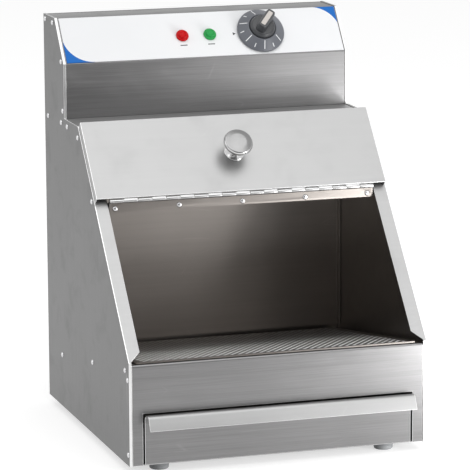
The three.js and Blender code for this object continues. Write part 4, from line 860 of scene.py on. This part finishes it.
for level, order in ((PLATE_HIGH, 1), (PLATE_LOW, -1)):
    for outline in margins:
        plate_points.append(xyz(*outline.T, level))
        plate_faces.append((count + np.arange(len(outline))[::order]).tolist())
        count += len(outline)
plate_points += [xyz(*rim.T, level) for level in (PLATE_LOW, PLATE_HIGH)]
plate_faces += (grid_faces(2, len(rim)) + count).tolist()
plate_points = leaning(np.concatenate(plate_points), FLOOR)
mesh = closed_mesh("perforated_floor_plate", plate_points, plate_faces, [hopper_steel, edge_highlight_steel], 40)
upward = read(mesh.polygons, "normal", 3)[:, 2]
# The countersunk rims take the much lighter edge steel: partly a drilled edge's bare metal, partly a painted
# glint.
countersunk = (upward > 0.3) & (upward < 0.9)
mesh.polygons.foreach_set("material_index", countersunk.astype(np.int32))
plate = bpy.data.objects.new("perforated_floor_plate", mesh)
dress(plate, "floor_plate", ["perforated_plate"])
print("holes in the plate:", len(centres), "and its faces:", len(mesh.polygons))

# %% [markdown]
# Under the plate lies the heating element: one sheathed rod bent three times into a long wave.
# It is a tube carried along a flat path of straight legs and half circles.

# %% Heating element
BEND_RADIUS, ROD_RADIUS, ROD_DEPTH = 35.0, 3.25, -10.0
ROD_REAR, ROD_FRONT, ROD_BEND = 293.0, 45.0, 212.0


def half_turn(centre, along, way):
    """A half circle: the angle goes from pi by way times pi, round (centre, along)."""
    angle = math.pi + way * math.pi * np.linspace(0.0, 1.0, 25)
    return xyz(centre + BEND_RADIUS * np.cos(angle), along + BEND_RADIUS * np.sin(angle))


route = []
stops = (ROD_REAR, ROD_FRONT, ROD_BEND, ROD_FRONT, ROD_REAR)
for number, (start, end) in enumerate(zip(stops, stops[1:])):
    x = (2 * number - 3) * BEND_RADIUS
    route.append(xyz(x, np.linspace(start, end, 14)[1:-1]))
    if number < 3:
        route.append(half_turn(x + BEND_RADIUS, end, (-1.0) ** number))
path = leaning(xyz(*np.concatenate(route).T, ROD_DEPTH), FLOOR)
rod = swept(path, (0.0, -math.sin(FLOOR[2]), math.cos(FLOOR[2])), ROD_RADIUS * MM, 24)
surface("heating_rod", [rod], "cabinet", element_metal, ["heating_element"])
rod_length = np.linalg.norm(np.diff(path, axis=0), axis=1).sum()
print("length of the heating rod in metres:", round(float(rod_length), 3))

# %% [markdown]
# The lid's knob is a polished mushroom: a flared base, a thin neck and a thick button with a
# softly domed face. Its finish shows every facet, so the lathe has many sides. The fine marks
# round it draw its shine out across them: the shader's tangent is the axis crossed with the way
# out from it. The end face, told by its height on the axis, is duller, and its darker tint is
# painted shade.

# %% Lid knob
LID_FOOT = 195.029
knob_along = (LID_FOOT + SLOPE_LENGTH) / 2
knob_line = rounded([
    (0.0, 8.3), (11.5, 8.3), (11.5, 9.7), (8.6, 11.3), (5.8, 13.0), (4.6, 16.5), (4.6, 21.0), (8.8, 23.6),
    (14.6, 24.9), (16.2, 26.4), (16.2, 28.4), (15.0, 30.8), (9.0, 32.3), (0.0, 32.8),
], 1.8, 8)
centre = tuple(leaning([0.0, knob_along, 0.0], SLOPE))
axis = (0.0, -math.sin(SLOPE[2]), math.cos(SLOPE[2]))
turned_chrome, tree, place = blank("turned_chrome")
away = vector_node(tree, "SUBTRACT", place, centre)
height = add(tree, "VectorMath", {0: away, 1: axis}, operation="DOT_PRODUCT").outputs["Value"]
end_face_dull_and_shaded = ramp(tree, height, 29.6 * MM, 31.2 * MM)
cloud = use(tree, rolled_clouds, Vector=place, Scale=40.0)["Cloud"]
side_tint = mixed(tree, cloud, grey(0.54), grey(0.64))
# The end face's darker tint is painted shade; its higher roughness is real.
tint = mixed(tree, end_face_dull_and_shaded, side_tint, mixed(tree, cloud, grey(0.22), grey(0.30)))
tangent = vector_node(tree, "NORMALIZE", vector_node(tree, "CROSS_PRODUCT", axis, away))
tangent = add(tree, "VectorTransform", {0: tangent}, convert_from="OBJECT", convert_to="WORLD").outputs[0]
gloss = ramp(tree, end_face_dull_and_shaded, 0.0, 1.0, 0.10, 0.26)
settle(tree, tint, gloss, metal=1.0, Tangent=tangent, Anisotropic=0.8)
knob = leaning(turned(knob_line, 96) + (0.0, knob_along, 0.0), SLOPE)
surface("lid_button", [knob], "lid", turned_chrome, ["lid_knob"], smooth=60.0)
print("knob profile points:", len(knob_line))

# %% [markdown]
# Each lamp is one coloured cap: a flat flange on the film, and a raised button with a ring
# moulded in its face. The ring is in the profile, not painted, so it catches light by itself.

# %% Pilot lamps
cap_line = rounded([
    (0.0, 0.8), (7.2, 0.8), (7.2, 2.3), (6.5, 3.0), (5.5, 3.0), (5.3, 3.9), (5.0, 5.2), (4.3, 6.0),
    (3.7, 5.9), (3.2, 5.3), (2.6, 5.6), (0.0, 6.2),
], 0.4, 4)
cap = turned(cap_line, 56)
for colour, x in LAMP_X.items():
    slot = colour + "_lens"
    nodes = [colour + "_lamp_bezel", colour + "_lamp_lens"]
    at_lamp = leaning(cap + (x, LAMP_ROW, 0.0), CONTROLS)
    surface(colour + "_lamp_cap", [at_lamp], "cabinet", FINISH_OF[slot], nodes)
print("lamp cap points:", cap.shape)

# %% [markdown]
# The dial has four parts: a wide cone that carries the marks, a darker hub, a tapered bar to
# hold, and a pale strip let into the bar that shows where it points. The bar's outline is a
# rounded box, the superellipse x = b |cos|^(2/p), y = a |sin|^(2/p) with signs kept, drawn at
# several heights with smaller a and b towards the top.

# %% Dial
DIAL = (67.4, 29.4, 0.0)
GRIP_OFFSET, GRIP_TURN = (0.0, 3.0, 0.0), math.radians(-40.0)
MARKS, FIRST_MARK, MARK_STEP = 9, 16.0, 27.0
LONG_MARK, SHORT_MARK, MARK_OUTER, MARK_HALF = 17.4, 21.4, 25.2, 0.45
CONE_RADIUS, CONE_BASE, CONE_RISE = 26.2, 4.5, 0.7083


def rounded_box(levels, power=5.0, columns=72):
    """Stacked superellipses: each level is (half breadth, half length, height)."""
    angle = np.linspace(0.0, 2 * math.pi, columns, endpoint=False)
    c, s = np.cos(angle), np.sin(angle)
    breadth, length, height = np.asarray(levels, dtype=float).T[..., None]
    x = breadth * np.sign(c) * np.abs(c) ** (2 / power)
    y = length * np.sign(s) * np.abs(s) ** (2 / power)
    return xyz(x, y, height)


def spun(points, angle):
    """Turns points about the dial's axis: x becomes x cos - y sin, and y becomes x sin + y cos."""
    x, y, z = np.moveaxis(points, -1, 0)
    return xyz(x * math.cos(angle) - y * math.sin(angle), x * math.sin(angle) + y * math.cos(angle), z)


def on_dial(name, grids, material, stands_for=()):
    """A piece of the dial from grids about its own middle, carried to its place on the control face."""
    surface(name, [leaning(grid + DIAL, CONTROLS) for grid in grids], "dial", material, stands_for)


skirt_line = rounded([
    (0.0, 1.5), (27.0, 1.5), (27.0, 3.7), (CONE_RADIUS, CONE_BASE), (16.6, 11.3), (15.6, 11.3),
    (14.6, 9.8), (0.0, 9.8),
], 0.5, 4)
hub_line = rounded([(0.0, 9.0), (14.6, 9.0), (14.6, 12.2), (12.4, 15.6), (0.0, 16.4)], 1.2, 6)
bar = rounded_box([
    (0.0, 0.0, 12.5), (5.9, 13.7, 12.5), (5.75, 13.5, 17.0), (5.3, 13.1, 24.5), (5.0, 12.8, 25.8),
    (4.4, 12.2, 26.5), (0.0, 0.0, 26.5),
])
strip = rounded_box([
    (0.0, 0.0, 25.4), (2.7, 10.0, 25.4), (2.7, 10.0, 26.5), (2.45, 9.75, 26.8), (0.0, 0.0, 26.8),
], power=9.0)
on_dial("dial_skirt", [turned(skirt_line, 120)], dial_plastic, stands_for=["thermostat_knob"])
on_dial("dial_hub", [turned(hub_line, 96)], dial_hub_plastic)
on_dial("dial_bar", [spun(bar + GRIP_OFFSET, GRIP_TURN)], dial_hub_plastic)
on_dial("dial_strip", [spun(strip + GRIP_OFFSET, GRIP_TURN)], cream_plastic, ["knob_insert"])

# A mark is a thin bar on the cone. Its first and last rows are single points inside it.
wide = np.array([0.0, 1.0, 1.0, 0.0])[:, None]
across = wide * MARK_HALF * np.array([-1.0, 1.0, 1.0, -1.0])
lift = wide * np.array([-0.15, -0.15, 0.12, 0.12])
marks = []
for number in range(MARKS):
    inner = SHORT_MARK if number % 2 else LONG_MARK
    middle = (inner + MARK_OUTER) / 2
    radius = np.array([middle, inner, MARK_OUTER, middle])[:, None]
    mark = xyz(across, radius, CONE_BASE + (CONE_RADIUS - radius) * CONE_RISE + lift)
    marks.append(spun(mark, math.radians(FIRST_MARK + MARK_STEP * number)))
on_dial("dial_marks", marks, dial_mark_paint)
print("marks on the dial:", len(marks))

# %% [markdown]
# Screws hold the back panel and the feet. A pan head is a low dome with a cross pressed into
# it: a point inside either bar of the cross lies lower, and the bars' sides slope.

# %% Cross-recessed screws
HEAD_HEIGHT, HEAD_SEAT = 2.0, -0.2
CROSS_WIDTH, CROSS_LENGTH, CROSS_SLOPE, CROSS_DEPTH = 0.13, 0.50, 0.06, 0.55


def screw_head(radius):
    """A domed head on its back with a cross recess: height = dome minus depth times the cross's mask.

    The cross's sizes are shares of the radius and of the height. The rim has no recess.
    """
    ring = np.array([0.0, 0.12, 0.24, 0.36, 0.46, 0.54, 0.64, 0.76, 0.88, 0.97, 1.0, 1.0, 0.0]) * radius
    dome = np.array([1.0, 1.0, 0.99, 0.98, 0.96, 0.94, 0.90, 0.82, 0.66, 0.45, 0.30]) * HEAD_HEIGHT
    head = turned(np.column_stack([ring, [*dome, HEAD_SEAT, HEAD_SEAT]]), 64)
    x, y = np.abs(head[..., 0]), np.abs(head[..., 1])

    def inside(value, limit):
        return np.clip((limit * radius - value) / (CROSS_SLOPE * radius) + 0.5, 0.0, 1.0)

    across, upright = [inside(a, CROSS_LENGTH) * inside(b, CROSS_WIDTH) for a, b in ((x, y), (y, x))]
    cross = np.maximum(across, upright)
    cross[len(dome) - 1:] = 0.0
    head[..., 2] -= cross * HEAD_HEIGHT * CROSS_DEPTH
    return np.moveaxis(head, -1, 0)


screws = [node for node in frame["nodes"] if node.startswith(("back_screw", "foot_screw"))]
for node in screws:
    low, high = box_mm(node)
    middle = (low + high) / 2
    across, up, out = screw_head((high[0] - low[0]) / 2)
    if node.startswith("back"):
        head = xyz(middle[0] - across, high[1] - HEAD_HEIGHT + out, middle[2] + up)
    else:
        head = xyz(middle[0] + across, middle[1] - up, low[2] + HEAD_HEIGHT - out)
    surface(node + "_head", [head * MM], "cabinet", zinc, [node])
print("screws:", len(screws))

# %% [markdown]
# The feet are round rubber cups with a groove moulded round them and a recess underneath for
# the screw. A lathe profile that ends where it starts makes a ring-shaped solid.

# %% Feet
foot_line = rounded([
    (5.2, -9.9), (9.3, -9.9), (10.2, -9.2), (10.45, -6.4), (10.1, -5.9), (10.5, -5.4), (10.95, -0.8),
    (10.4, 0.0), (2.6, 0.0), (2.6, -6.0), (5.2, -6.0), (5.2, -9.9),
], 0.35, 4)
foot = turned(foot_line, 64)
for node in [node for node in frame["nodes"] if node.startswith("foot_") and "screw" not in node]:
    low, high = box_mm(node)
    top = ((low[0] + high[0]) / 2, (low[1] + high[1]) / 2, high[2])
    surface(node + "_cup", [(foot + top) * MM], "cabinet", foot_rubber, [node])
print("foot profile points:", len(foot_line))

# %% [markdown]
# The gland at the back is a lathe shape whose radius also depends on the angle: its flange is
# cut by the flats of a hexagon, and its dome nut swells and shrinks sixteen times round.

# %% Cable gland
GLAND_X, GLAND_Z = -110.0, 85.0
FLANGE_ROWS, FLAT_RADIUS = slice(3, 7), 0.9
NUT_ROWS, RIBS, RIB_HEIGHT = slice(8, 11), 16, 0.035
gland_line = [
    (3.6, 326.0), (7.5, 326.0), (7.5, 335.3), (10.0, 335.3), (10.0, 335.9), (10.0, 338.8), (9.6, 339.3),
    (7.4, 339.3), (7.6, 339.9), (7.6, 345.8), (6.9, 347.4), (6.0, 349.2), (5.0, 350.7), (4.3, 351.0),
    (3.6, 350.6), (3.6, 326.0),
]
across, up, depth = np.moveaxis(turned(gland_line, 144), -1, 0)
angle = np.arctan2(up, across)
sixth = math.pi / 3
off_flat = (angle + sixth / 2) % sixth - sixth / 2
wave = np.sin(RIBS * angle)
factor = np.ones_like(angle)
factor[FLANGE_ROWS] = np.minimum(1.0, FLAT_RADIUS / np.cos(off_flat))[FLANGE_ROWS]
factor[NUT_ROWS] += (RIB_HEIGHT * np.sign(wave) * np.sqrt(np.abs(wave)))[NUT_ROWS]
gland = in_cabinet(xyz(GLAND_X + across * factor, depth, GLAND_Z + up * factor))
surface("supply_gland", [gland], "cabinet", black_plastic, ["cable_gland"])
print("gland points:", angle.size)

# %% [markdown]
# The rest of the CAD's nodes lie inside or behind the dressed pieces and keep their shapes.
# Each takes the finish of its slot.

# %% Finishes of the carried-over nodes
kept = [node for node, thing in frame["nodes"].items() if not thing.hide_render]
for node in kept:
    for place_in_list in frame["nodes"][node].material_slots:
        place_in_list.material = FINISH_OF[SLOT_OF[node]]
print("nodes kept from the CAD:", kept)

# %% [markdown]
# Last comes the plain colour handling.

scene.view_settings.view_transform = "Standard"
